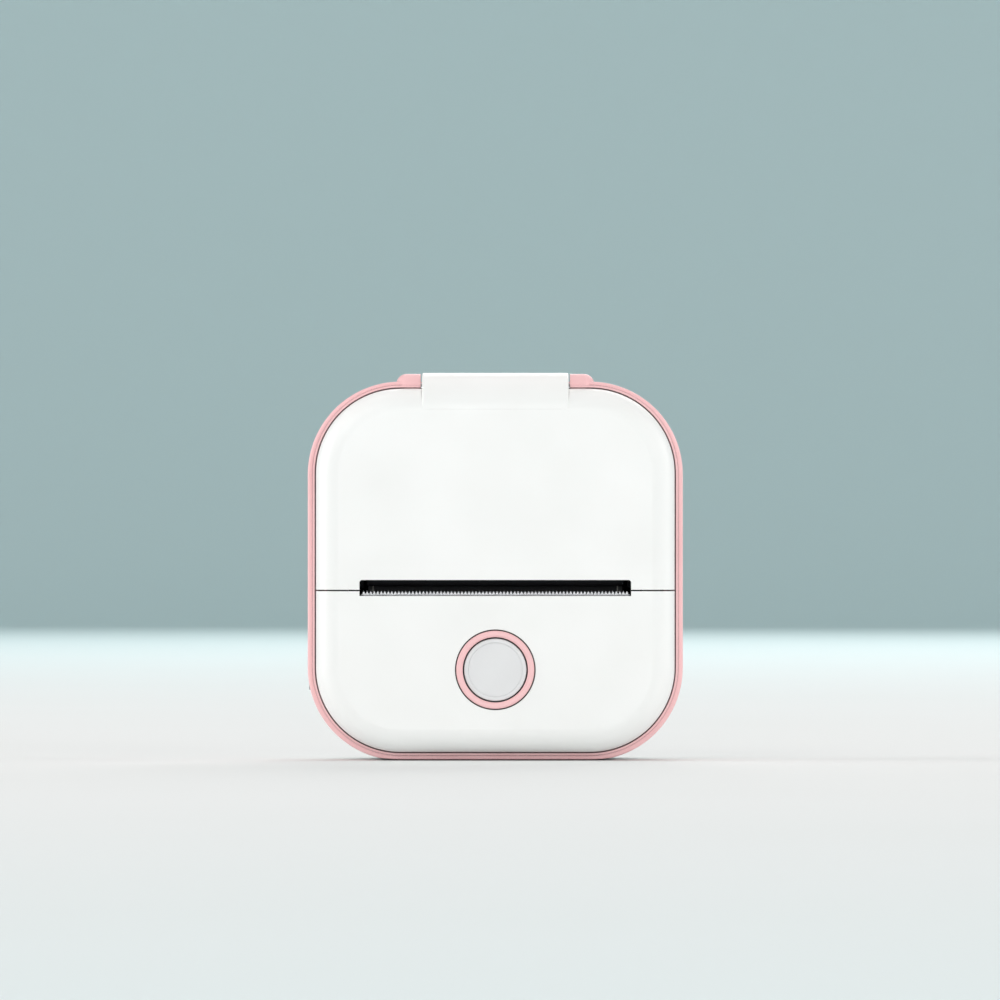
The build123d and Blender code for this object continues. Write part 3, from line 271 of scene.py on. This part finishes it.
# Printed circuit board: green solder mask, with the copper tracks showing through as paler lines
def solderMask():
    material, tree, shader, place = newMaterial("solderMask", IOR=1.5)
    turn = addNode(tree, "ShaderNodeMapping", values={"Rotation": (math.radians(90), 0, 0)},
                   links={"Vector": place})
    tracks = addNode(tree, "ShaderNodeTexBrick", {"offset": 0.37, "squash": 1.4},
                     {"Scale": 1.0, "Brick Width": 7 * mm, "Row Height": 1.1 * mm, "Mortar Size": 0.12 * mm,
                      "Color1": linearColour("#12532f"), "Color2": linearColour("#0f4a29"),
                      "Mortar": linearColour("#2d8750")},
                     {"Vector": turn.outputs[0]})
    tree.links.new(tracks.outputs["Color"], shader.inputs["Base Color"])
    drift = noise(tree, place, 2 * mm, 2.0)
    gloss(tree, shader, 0.2, 0.34, drift.outputs["Fac"])
    relief(tree, shader, 0.3, 0.03 * mm, tracks.outputs["Fac"])
    return material


wear(["main_board"], solderMask())


# Moulded epoxy of the chips: charcoal with silica specks
def chipEpoxy():
    material, tree, shader, place = newMaterial("chipEpoxy", IOR=1.55)
    specks = noise(tree, place, 0.12 * mm, 5.0)
    ramp = addNode(tree, "ShaderNodeValToRGB", links={"Fac": specks.outputs["Fac"]})
    ramp.color_ramp.elements[0].position, ramp.color_ramp.elements[0].color = 0.45, linearColour("#2a2a2c")
    ramp.color_ramp.elements[1].position, ramp.color_ramp.elements[1].color = 0.75, linearColour("#464648")
    tree.links.new(ramp.outputs[0], shader.inputs["Base Color"])
    gloss(tree, shader, 0.45, 0.65, specks.outputs["Fac"])
    return material


epoxy = chipEpoxy()
wear(["driver_chips"], epoxy)


# Polyimide ribbon: clear amber film over fine copper lines that run from end to end
def polyimideRibbon():
    material, tree, shader, place = newMaterial("polyimideRibbon", IOR=1.6)
    axes = addNode(tree, "ShaderNodeSeparateXYZ", links={0: place})
    pitch = addNode(tree, "ShaderNodeMath", {"operation": "MULTIPLY"}, {1: 2 * math.pi / (0.75 * mm)},
                    {0: axes.outputs["X"]})
    wave = addNode(tree, "ShaderNodeMath", {"operation": "SINE"}, links={0: pitch.outputs[0]})
    lines = addNode(tree, "ShaderNodeMapRange", values={"From Min": -0.2, "From Max": 0.2},
                    links={"Value": wave.outputs[0]})
    colour = tint(tree, "#8a4a14", "#b9722a", lines.outputs[0])
    paint(tree, shader, colour)
    haze = noise(tree, place, 1.5 * mm, 2.0)
    gloss(tree, shader, 0.18, 0.3, haze.outputs["Fac"])
    return material


wear(["head_flex"], polyimideRibbon())


# Closed-cell foam tape under the battery
def foamTape():
    material, tree, shader, place = newMaterial("foamTape", IOR=1.45)
    cells = addNode(tree, "ShaderNodeTexVoronoi", values={"Scale": 1 / (0.35 * mm)}, links={"Vector": place})
    colour = tint(tree, "#232325", "#38383a", cells.outputs["Distance"])
    paint(tree, shader, colour)
    gloss(tree, shader, 0.8, 0.95, cells.outputs["Distance"])
    relief(tree, shader, 0.7, 0.08 * mm, cells.outputs["Distance"])
    return material


wear(["battery_pad"], foamTape())


# Laminated foil pouch of the cell: silver-grey, slightly crinkled
def foilPouch():
    material, tree, shader, place = newMaterial("foilPouch", Metallic=0.85)
    crinkle = noise(tree, place, 5 * mm, 5.0, 0.6)
    colour = tint(tree, "#c3c5c8", "#aeb1b5", crinkle.outputs["Fac"])
    paint(tree, shader, colour)
    gloss(tree, shader, 0.3, 0.5, crinkle.outputs["Fac"])
    relief(tree, shader, 0.5, 0.3 * mm, crinkle.outputs["Fac"])
    return material


wear(["battery"], foilPouch())


# Coated thermal paper: cool white, the coating a little glossier than the fibres under it
def thermalPaper():
    material, tree, shader, place = newMaterial("thermalPaper", IOR=1.5)
    fibre = noise(tree, place, 0.5 * mm, 5.0, 0.4)
    colour = tint(tree, "#f3f3f0", "#e7e8e6", fibre.outputs["Fac"])
    paint(tree, shader, colour)
    gloss(tree, shader, 0.5, 0.7, fibre.outputs["Fac"])
    relief(tree, shader, 0.3, 0.02 * mm, fibre.outputs["Fac"])
    return material


paper = thermalPaper()


# Card tube wound from grey-brown board: fibres, and the spiral joint of its plies every 12 mm
def cardTube():
    material, tree, shader, place = newMaterial("cardTube", IOR=1.5)
    fibre = noise(tree, place, 0.6 * mm, 6.0)
    ply = addNode(tree, "ShaderNodeTexWave",
                  {"wave_type": "BANDS", "bands_direction": "DIAGONAL", "wave_profile": "SAW"},
                  {"Scale": 1 / (12 * mm) / 3, "Distortion": 0.3}, {"Vector": place})
    colour = tint(tree, "#a98a63", "#8d7150", fibre.outputs["Fac"])
    paint(tree, shader, colour)
    gloss(tree, shader, 0.75, 0.92, fibre.outputs["Fac"])
    relief(tree, shader, 0.4, 0.05 * mm, ply.outputs["Fac"])
    return material


wear(["paper_core"], cardTube())


# Charging socket: a drawn stainless shell, and inside it a black tongue, told apart by where they lie
def socketSteel():
    material, tree, shader, place = newMaterial("socketSteel")
    lay = addNode(tree, "ShaderNodeMapping",
                  values={"Scale": (1 / (4 * mm), 1 / (0.25 * mm), 1 / (0.25 * mm))},
                  links={"Vector": place})
    streak = noise(tree, lay.outputs[0], 1.0, 3.0)
    axes = addNode(tree, "ShaderNodeSeparateXYZ", links={0: place})
    nearY = addNode(tree, "ShaderNodeMath", {"operation": "COMPARE"},
                    {1: usbTongue["y"], 2: usbTongue["halfThick"]}, {0: axes.outputs["Y"]})
    nearZ = addNode(tree, "ShaderNodeMath", {"operation": "COMPARE"},
                    {1: usbTongue["z"], 2: usbTongue["halfTall"]}, {0: axes.outputs["Z"]})
    tongue = addNode(tree, "ShaderNodeMath", {"operation": "MULTIPLY"},
                     links={0: nearY.outputs[0], 1: nearZ.outputs[0]})
    steel = tint(tree, "#c4c6c8", "#a5a8ab", streak.outputs["Fac"])
    colour = addNode(tree, "ShaderNodeMix", {"data_type": "RGBA"}, {7: linearColour("#1b1b1d")},
                     {0: tongue.outputs[0], 6: steel.outputs[2]})
    paint(tree, shader, colour)
    metal = addNode(tree, "ShaderNodeMath", {"operation": "SUBTRACT"}, {0: 1.0}, {1: tongue.outputs[0]})
    tree.links.new(metal.outputs[0], shader.inputs["Metallic"])
    gloss(tree, shader, 0.22, 0.4, streak.outputs["Fac"])
    return material


wear(["usb_socket"], socketSteel())
print("board, paper and battery materials done")


# Geometry Nodes: each tree has named inputs and is baked to a plain mesh
def newTree(name, inputs):
    tree = bpy.data.node_groups.new(name, "GeometryNodeTree")
    tree.interface.new_socket("Geometry", in_out="INPUT", socket_type="NodeSocketGeometry")
    tree.interface.new_socket("Geometry", in_out="OUTPUT", socket_type="NodeSocketGeometry")
    for label, kind in inputs:
        tree.interface.new_socket(label, in_out="INPUT", socket_type="NodeSocket" + kind)
    return tree, addNode(tree, "NodeGroupInput").outputs


def closeTree(tree, geometry, material):
    real = addNode(tree, "GeometryNodeRealizeInstances", links={"Geometry": geometry})
    painted = addNode(tree, "GeometryNodeSetMaterial", values={"Material": material},
                      links={"Geometry": real.outputs[0]})
    addNode(tree, "NodeGroupOutput", links={"Geometry": painted.outputs[0]})


def growPiece(name, tree, values, body, startMesh=None):
    piece = bpy.data.objects.new(name, startMesh or bpy.data.meshes.new(name))
    scene.collection.objects.link(piece)
    modifier = piece.modifiers.new("grow", "NODES")
    modifier.node_group = tree
    for item in tree.interface.items_tree:
        if item.in_out == "INPUT" and item.name in values:
            modifier[item.identifier] = values[item.name]
    bpy.context.view_layer.update()
    grown = bpy.data.meshes.new_from_object(piece.evaluated_get(bpy.context.evaluated_depsgraph_get()))
    grown.name = name
    piece.modifiers.clear()
    piece.data = grown
    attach(piece, body)
    return piece


# Paper roll: one long strip wound round the core. The real paper is 0.06 mm thick; it is drawn
# as 24 turns, so that its edges show as rings in the render.
roll = {"turns": 24.0, "inner": 6.3 * mm, "outer": 14.84 * mm, "sheet": 0.3 * mm, "width": 56.9 * mm}
tree, given = newTree("woundPaper", [("Turns", "Float"), ("Inner radius", "Float"), ("Outer radius", "Float"),
                                     ("Sheet", "Float"), ("Width", "Float")])
path = addNode(tree, "GeometryNodeCurveSpiral", values={"Resolution": 72, "Height": 0.0},
               links={"Rotations": given["Turns"], "Start Radius": given["Inner radius"],
                      "End Radius": given["Outer radius"]})
upright = addNode(tree, "GeometryNodeSetCurveNormal", {"mode": "Z_UP"}, links={"Curve": path.outputs[0]})
strip = addNode(tree, "GeometryNodeCurvePrimitiveQuadrilateral",
                links={"Width": given["Sheet"], "Height": given["Width"]})
wound = addNode(tree, "GeometryNodeCurveToMesh", values={"Fill Caps": True},
                links={"Curve": upright.outputs[0], "Profile Curve": strip.outputs[0]})
laid = addNode(tree, "GeometryNodeTransform",
               values={"Rotation": (0, math.radians(90), 0), "Translation": rollAxis},
               links={"Geometry": wound.outputs[0]})
closeTree(tree, laid.outputs[0], paper)
rollPiece = growPiece("wound_paper", tree, {"Turns": roll["turns"], "Inner radius": roll["inner"],
                      "Outer radius": roll["outer"], "Sheet": roll["sheet"], "Width": roll["width"]}, "roll")
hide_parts("paper_roll")
print("paper roll wound:", len(rollPiece.data.polygons), "faces",
      [round(v / mm, 2) for v in rollPiece.dimensions])

# Head springs: two coils of round wire, wound along the line that presses the head on the roller
spring = {"turns": 3.5, "radius": 1.9 * mm, "wire": 0.225 * mm, "height": 4.25 * mm, "spread": 16 * mm,
          "behindNip": (7.75 - 0.275) * mm}
tree, given = newTree("pressureSpring", [("Turns", "Float"), ("Coil radius", "Float"),
                                         ("Wire radius", "Float"), ("Height", "Float"), ("Spread", "Float")])
coil = addNode(tree, "GeometryNodeCurveSpiral", values={"Resolution": 28},
               links={"Rotations": given["Turns"], "Start Radius": given["Coil radius"],
                      "End Radius": given["Coil radius"], "Height": given["Height"]})
wire = addNode(tree, "GeometryNodeCurvePrimitiveCircle", values={"Resolution": 10},
               links={"Radius": given["Wire radius"]})
swept = addNode(tree, "GeometryNodeCurveToMesh", values={"Fill Caps": True},
                links={"Curve": coil.outputs[0], "Profile Curve": wire.outputs[0]})
half = addNode(tree, "ShaderNodeCombineXYZ", links={"X": given["Spread"]})
back = addNode(tree, "ShaderNodeVectorMath", {"operation": "SCALE"}, {"Scale": -1.0}, {0: half.outputs[0]})
gap = addNode(tree, "ShaderNodeVectorMath", {"operation": "SCALE"}, {"Scale": 2.0}, {0: half.outputs[0]})
pair = addNode(tree, "GeometryNodeMeshLine", values={"Count": 2},
               links={"Start Location": back.outputs[0], "Offset": gap.outputs[0]})
both = addNode(tree, "GeometryNodeInstanceOnPoints",
               links={"Points": pair.outputs[0], "Instance": swept.outputs[0]})
springFoot = nip - headNormal * spring["behindNip"]
tilted = addNode(tree, "GeometryNodeTransform",
                 values={"Rotation": (math.pi / 2 - headLean, 0, 0), "Translation": springFoot},
                 links={"Geometry": both.outputs[0]})
closeTree(tree, tilted.outputs[0], bpy.data.materials["groundSteel"])
springPiece = growPiece("coil_springs", tree, {"Turns": spring["turns"], "Coil radius": spring["radius"],
                        "Wire radius": spring["wire"], "Height": spring["height"],
                        "Spread": spring["spread"]}, "casing")
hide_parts("head_springs")
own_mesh(springPiece)
print("springs wound:", len(springPiece.data.polygons), "faces")


# Case screws: pan heads with a cross recess, and a coarse thread for plastic
screw = {"headRadius": 2.0 * mm, "headHeight": 1.4 * mm, "coreRadius": 0.68 * mm, "crestRadius": 0.85 * mm,
         "length": 10 * mm, "pitch": 1.1 * mm, "slotWidth": 0.55 * mm, "slotReach": 1.15 * mm,
         "slotDepth": 0.9 * mm, "recessTaper": 0.55, "domeRise": 0.55, "rimHeight": 0.15 * mm,
         "tip": 1.2 * mm, "threadTurns": 7.4, "threadSteps": 20,
         "threadStart": 1.0 * mm, "threadHalf": 0.22 * mm, "threadRoot": 0.96, "seatY": 9.0 * mm,
         "spots": [(26.906, 9.010), (-26.906, 9.010), (33.882, 63.583), (-33.882, 63.583)]}


def turnedSolid(name, profile, segments):
    # a closed solid turned round the Y axis from (radius, y) points that start and end on the axis
    work = bmesh.new()
    rings = []
    for radius, y in profile:
        if radius == 0:
            rings.append([work.verts.new((0, y, 0))])
        else:
            turns = [2 * math.pi * i / segments for i in range(segments)]
            rings.append([work.verts.new((radius * math.cos(a), y, radius * math.sin(a))) for a in turns])
    for low, high in zip(rings, rings[1:]):
        for i in range(segments):
            j = (i + 1) % segments
            corners = [low[i % len(low)], low[j % len(low)], high[j % len(high)], high[i % len(high)]]
            work.faces.new(list(dict.fromkeys(corners)))
    bmesh.ops.recalc_face_normals(work, faces=work.faces)
    mesh = bpy.data.meshes.new(name)
    work.to_mesh(mesh)
    work.free()
    return mesh


def screwMesh():
    s = screw
    r, h = s["headRadius"], s["headHeight"]
    dome = [(r * math.cos(a), h - s["domeRise"] * r * (1 - math.sin(a)))
            for a in [math.radians(d) for d in (12, 30, 48, 64, 78)]]
    head = turnedSolid("screwHead", [(0, 0), (r * 0.98, 0), (r, s["rimHeight"])] + dome + [(0, h)], 40)
    piece = bpy.data.objects.new("screwHead", head)
    scene.collection.objects.link(piece)
    cutter = bmesh.new()
    for turn in (0, 90):
        made = bmesh.ops.create_cube(cutter, size=1.0)
        size = Matrix.Diagonal((2 * s["slotReach"], s["slotDepth"], s["slotWidth"], 1))
        shift = Matrix.Translation((0, h + 0.05 * mm - s["slotDepth"] / 2, 0))
        bmesh.ops.transform(cutter, matrix=Matrix.Rotation(math.radians(turn), 4, "Y") @ shift @ size,
                            verts=made["verts"])
        for v in made["verts"]:  # the recess narrows towards its foot
            if v.co.y < h - s["slotDepth"] / 2:
                v.co.x, v.co.z = v.co.x * s["recessTaper"], v.co.z * s["recessTaper"]
    cutMesh = bpy.data.meshes.new("screwCutter")
    cutter.to_mesh(cutMesh)
    cutter.free()
    cutPiece = bpy.data.objects.new("screwCutter", cutMesh)
    scene.collection.objects.link(cutPiece)
    cut = piece.modifiers.new("recess", "BOOLEAN")
    cut.operation, cut.object, cut.use_self = "DIFFERENCE", cutPiece, True
    bpy.context.view_layer.update()
    headMesh = bpy.data.meshes.new_from_object(piece.evaluated_get(bpy.context.evaluated_depsgraph_get()))
    work = bmesh.new()
    work.from_mesh(headMesh)
    shank = turnedSolid("screwShank", [(0, -s["length"]), (s["coreRadius"] * 0.5, -s["length"] + 0.1 * mm),
                        (s["coreRadius"], -s["length"] + s["tip"]), (s["coreRadius"], 0.02 * mm),
                        (0, 0.02 * mm)], 20)
    work.from_mesh(shank)
    # one thread, a closed ridge that fades in at both ends
    turns, steps, root = s["threadTurns"], s["threadSteps"], s["coreRadius"] * s["threadRoot"]
    ridge = []
    for i in range(int(turns * steps) + 1):
        angle, y = 2 * math.pi * i / steps, -s["length"] + s["threadStart"] + s["pitch"] * i / steps
        grow = min(1.0, i / steps, (turns * steps - i) / steps * 2 + 0.05)
        crest = s["coreRadius"] + (s["crestRadius"] - s["coreRadius"]) * grow
        ridge.append([work.verts.new((radius * math.cos(angle), y + dy, radius * math.sin(angle)))
                      for radius, dy in ((root, -s["threadHalf"]), (crest, 0), (root, s["threadHalf"]))])
    for a, b in zip(ridge, ridge[1:]):
        for k in range(3):
            work.faces.new((a[k], a[(k + 1) % 3], b[(k + 1) % 3], b[k]))
    work.faces.new(ridge[0])
    work.faces.new(ridge[-1])
    bmesh.ops.recalc_face_normals(work, faces=work.faces)
    mesh = bpy.data.meshes.new("caseScrew")
    work.to_mesh(mesh)
    work.free()
    for o in (piece, cutPiece):
        bpy.data.objects.remove(o)
    return mesh


screwSource = bpy.data.objects.new("caseScrewSource", screwMesh())
scene.collection.objects.link(screwSource)
wells = bpy.data.meshes.new("screwWells")
wells.from_pydata([(x * mm, screw["seatY"], z * mm) for x, z in screw["spots"]], [], [])
tree, given = newTree("screwsInWells", [("Screw", "Object"), ("Turn seed", "Int")])
source = addNode(tree, "GeometryNodeObjectInfo", links={"Object": given["Screw"]})
turn = addNode(tree, "FunctionNodeRandomValue", {"data_type": "FLOAT"}, {"Min": 0.0, "Max": 6.28},
               {"Seed": given["Turn seed"]})
spin = addNode(tree, "ShaderNodeCombineXYZ", links={"Y": turn.outputs[1]})
driven = addNode(tree, "GeometryNodeInstanceOnPoints",
                links={"Points": given["Geometry"], "Instance": source.outputs["Geometry"],
                       "Rotation": spin.outputs[0]})
blackZinc = drawnMetal("blackZinc", {"colour": "#6b6d70", "shade": "#4e5053", "streakMm": (0.8, 0.8, 0.8),
                                     "rough": (0.28, 0.44)})
closeTree(tree, driven.outputs[0], blackZinc)  # dark zinc-plated steel: soft grey gloss on the domed heads
screwPiece = growPiece("cross_head_screws", tree, {"Screw": screwSource, "Turn seed": 11}, "casing", wells)
bpy.data.objects.remove(screwSource)
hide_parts("case_screws")
print("screws driven:", len(screwPiece.data.polygons), "faces")

# Gold contacts on both faces of the socket's tongue
contacts = {"count": 12, "pitch": 0.5 * mm, "size": (3.2 * mm, 0.04 * mm, 0.26 * mm), "x": -37.9 * mm,
            "half": 0.355 * mm}
firstContact = (contacts["x"], usbTongue["y"],
                usbTongue["z"] - contacts["pitch"] * (contacts["count"] - 1) / 2)
tree, given = newTree("socketContacts", [("Count", "Int"), ("Pitch", "Float"), ("Half gap", "Float")])
pad = addNode(tree, "GeometryNodeMeshCube", values={"Size": contacts["size"]})
step = addNode(tree, "ShaderNodeCombineXYZ", links={"Z": given["Pitch"]})
row = addNode(tree, "GeometryNodeMeshLine", values={"Start Location": firstContact},
              links={"Count": given["Count"], "Offset": step.outputs[0]})
onRow = addNode(tree, "GeometryNodeInstanceOnPoints",
                links={"Points": row.outputs[0], "Instance": pad.outputs[0]})
outward = addNode(tree, "ShaderNodeCombineXYZ", links={"Y": given["Half gap"]})
inward = addNode(tree, "ShaderNodeVectorMath", {"operation": "SCALE"}, {"Scale": -1.0},
                 {0: outward.outputs[0]})
rearRow = addNode(tree, "GeometryNodeTransform",
                  links={"Geometry": onRow.outputs[0], "Translation": outward.outputs[0]})
frontRow = addNode(tree, "GeometryNodeTransform",
                   links={"Geometry": onRow.outputs[0], "Translation": inward.outputs[0]})
rows = addNode(tree, "GeometryNodeJoinGeometry", links={"Geometry": rearRow.outputs[0]})
tree.links.new(frontRow.outputs[0], rows.inputs[0])
gold = drawnMetal("goldFlash", {"colour": "#e6c26a", "shade": "#cfa74e", "streakMm": (2, 0.2, 0.2),
                                "rough": (0.22, 0.34)})
closeTree(tree, rows.outputs[0], gold)  # hard gold flash over nickel: warm and mirror-like
contactPiece = growPiece("socket_contacts", tree, {"Count": contacts["count"], "Pitch": contacts["pitch"],
                         "Half gap": contacts["half"]}, "casing")

# Small components scattered over the free strip of the board
chips = {"patch": [(-9, 24), (15, 24), (15, 27.6), (-9, 27.6)], "y": -12.16,
         "size": (1.0 * mm, 0.5 * mm, 0.5 * mm), "apart": 1.7 * mm, "density": 4e5}
patch = bpy.data.meshes.new("boardPatch")
patch.from_pydata([(x * mm, chips["y"] * mm, z * mm) for x, z in chips["patch"]], [], [(0, 3, 2, 1)])
tree, given = newTree("boardParts", [("Apart", "Float"), ("Seed", "Int")])
spots = addNode(tree, "GeometryNodeDistributePointsOnFaces", {"distribute_method": "POISSON"},
                {"Density Max": chips["density"]},
                {"Mesh": given["Geometry"], "Distance Min": given["Apart"], "Seed": given["Seed"]})
body = addNode(tree, "GeometryNodeMeshCube", values={"Size": chips["size"]})
placed = addNode(tree, "GeometryNodeInstanceOnPoints",
                 links={"Points": spots.outputs["Points"], "Instance": body.outputs[0]})
closeTree(tree, placed.outputs[0], epoxy)
chipPiece = growPiece("board_components", tree, {"Apart": chips["apart"], "Seed": 5}, "casing", patch)
print("contacts and board parts placed")


# Print line on the ceramic, a low glazed ridge, and the epoxy that covers the driver bond wires. The cover is
# made wide and long enough to hide the pale ceramic behind the slot, which looks dark in the photograph.
faceSet = 0.25 * mm  # from the nip back to the ceramic's face


def headBar(name, along, width, height, length, material):
    # a rounded bar along the head's face, from its low rounded section
    arch = [(width / 2 * math.cos(a), height * math.sin(a))
            for a in [math.radians(d) for d in (165, 135, 105, 75, 45, 15)]]
    section = [(-width / 2, 0)] + arch + [(width / 2, 0)]
    base = nip - headNormal * faceSet + headUp * along
    work = bmesh.new()
    ends = []
    for x in (-length / 2, length / 2):
        ends.append([work.verts.new(base + Vector((x, 0, 0)) + headUp * u + headNormal * v)
                     for u, v in section])
    for i in range(len(section)):
        j = (i + 1) % len(section)
        work.faces.new((ends[0][i], ends[0][j], ends[1][j], ends[1][i]))
    work.faces.new(ends[0])
    work.faces.new(ends[1])
    bmesh.ops.recalc_face_normals(work, faces=work.faces)
    mesh = bpy.data.meshes.new(name)
    work.to_mesh(mesh)
    work.free()
    mesh.materials.append(material)
    piece = bpy.data.objects.new(name, mesh)
    scene.collection.objects.link(piece)
    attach(piece, "print_head")
    return piece


def glazedLine():
    # fired glass glaze over the heating dots: smooth dark brown
    material, tree, shader, place = newMaterial("glazedLine", IOR=1.6)
    drift = noise(tree, place, 0.5 * mm, 2.0)
    colour = tint(tree, "#4a3526", "#362519", drift.outputs["Fac"])
    paint(tree, shader, colour)
    gloss(tree, shader, 0.08, 0.16, drift.outputs["Fac"])
    return material


headBar("print_line", along=0.0, width=0.9 * mm, height=0.08 * mm, length=50 * mm, material=glazedLine())
headBar("bond_cover", along=-3.5 * mm, width=4.0 * mm, height=0.3 * mm, length=53.6 * mm, material=epoxy)
print("print head dressed")


# Studio: a round paper cove, so that every view has a plain ground
def coveMaterial():
    # matt background paper: near white round the piece, turning pale teal towards the wall and up it
    material, tree, shader, place = newMaterial("coveCard", Roughness=0.9)
    flat = addNode(tree, "ShaderNodeVectorMath", {"operation": "MULTIPLY"}, {1: (1, 1, 0)}, {0: place})
    radius = addNode(tree, "ShaderNodeVectorMath", {"operation": "LENGTH"}, links={0: flat.outputs[0]})
    away = addNode(tree, "ShaderNodeMapRange", {"interpolation_type": "SMOOTHSTEP"},
                   {"From Min": 0.1, "From Max": 3.2},
                   {"Value": radius.outputs["Value"]})
    drift = noise(tree, place, 1 / 3, 2.0)
    ground = tint(tree, "#eaecec", "#e6e9e8", drift.outputs["Fac"])
    colour = addNode(tree, "ShaderNodeMix", {"data_type": "RGBA"}, {7: linearColour("#c8dee0")},
                     {0: away.outputs[0], 6: ground.outputs[2]})
    paint(tree, shader, colour)
    return material


studio = {"flat": 3.3, "curve": 1.0, "height": 2.6, "segments": 96}
profile = [(studio["flat"] * k / 8, 0.0) for k in range(1, 9)]
for step in range(1, 13):
    angle = math.radians(90 * step / 12)
    profile.append((studio["flat"] + studio["curve"] * math.sin(angle),
                    studio["curve"] * (1 - math.cos(angle))))
profile.append((studio["flat"] + studio["curve"], studio["height"]))
work = bmesh.new()
middle = work.verts.new((0, 0, 0))
rings = [[work.verts.new((radius * math.cos(2 * math.pi * i / studio["segments"]),
                          radius * math.sin(2 * math.pi * i / studio["segments"]), z))
          for i in range(studio["segments"])] for radius, z in profile]
for i in range(studio["segments"]):
    j = (i + 1) % studio["segments"]
    work.faces.new((middle, rings[0][i], rings[0][j]))
    for low, high in zip(rings, rings[1:]):
        work.faces.new((low[i], high[i], high[j], low[j]))
coveMesh = bpy.data.meshes.new("cove")
work.to_mesh(coveMesh)
work.free()
coveMesh.polygons.foreach_set("use_smooth", [True] * len(coveMesh.polygons))
coveMesh.materials.append(coveMaterial())
cove = bpy.data.objects.new("cove", coveMesh)
scene.collection.objects.link(cove)

lamps = {
    "key": {"at": (-0.95, -1.9, 1.45), "aim": (0, 0, 0.04), "size": 1.4, "power": 10.4},
    "fill": {"at": (1.5, -2.3, 0.9), "aim": (0, 0, 0.04), "size": 1.3, "power": 13.0},
    "low": {"at": (0.0, -3.2, 0.43), "aim": (0, 0, 0.04), "size": 0.8, "power": 13.0},
    "left": {"at": (-2.0, -0.1, 0.6), "aim": (0, 0, 0.04), "size": 1.1, "power": 17.5},
    "right": {"at": (2.0, -0.1, 0.6), "aim": (0, 0, 0.04), "size": 1.1, "power": 11.0},
    "back": {"at": (0.4, 2.4, 1.3), "aim": (0, 0, 0.04), "size": 1.6, "power": 22.0},
    "over": {"at": (0.0, 0.8, 3.0), "aim": (0, 2.6, 0.0), "size": 2.0, "power": 14.0},
}
for name, lamp in lamps.items():
    data = bpy.data.lights.new(name, "AREA")
    data.size, data.energy, data.color = lamp["size"], lamp["power"], linearColour("#fffaf9")[:3]
    light = bpy.data.objects.new(name, data)
    light.location = lamp["at"]
    light.rotation_euler = (Vector(lamp["aim"]) - Vector(lamp["at"])).to_track_quat("-Z", "Y").to_euler()
    light.visible_camera = False
    scene.collection.objects.link(light)

world = bpy.data.worlds.new("studioAir")
world.use_nodes = True
world.node_tree.nodes["Background"].inputs["Color"].default_value = linearColour("#fffaf9")
world.node_tree.nodes["Background"].inputs["Strength"].default_value = 0.5
scene.world = world

# Camera: level with the photograph's centre, a long lens, 0.2194 mm to the pixel at the front face
view = {"distance": 3.0, "x": 1.03 * mm, "z": 57.26 * mm, "span": 0.2194, "front": -20.7 * mm}
lens = bpy.data.cameras.new("camera")
lens.sensor_width = 36.0
lens.lens = 36.0 * (view["distance"] + view["front"]) / view["span"]
lens.clip_start, lens.clip_end = 0.05, 20
camera = bpy.data.objects.new("camera", lens)
camera.location = (view["x"], -view["distance"], view["z"])
camera.rotation_euler = (math.radians(90), 0, 0)
scene.collection.objects.link(camera)
scene.camera = camera
print("studio lit")
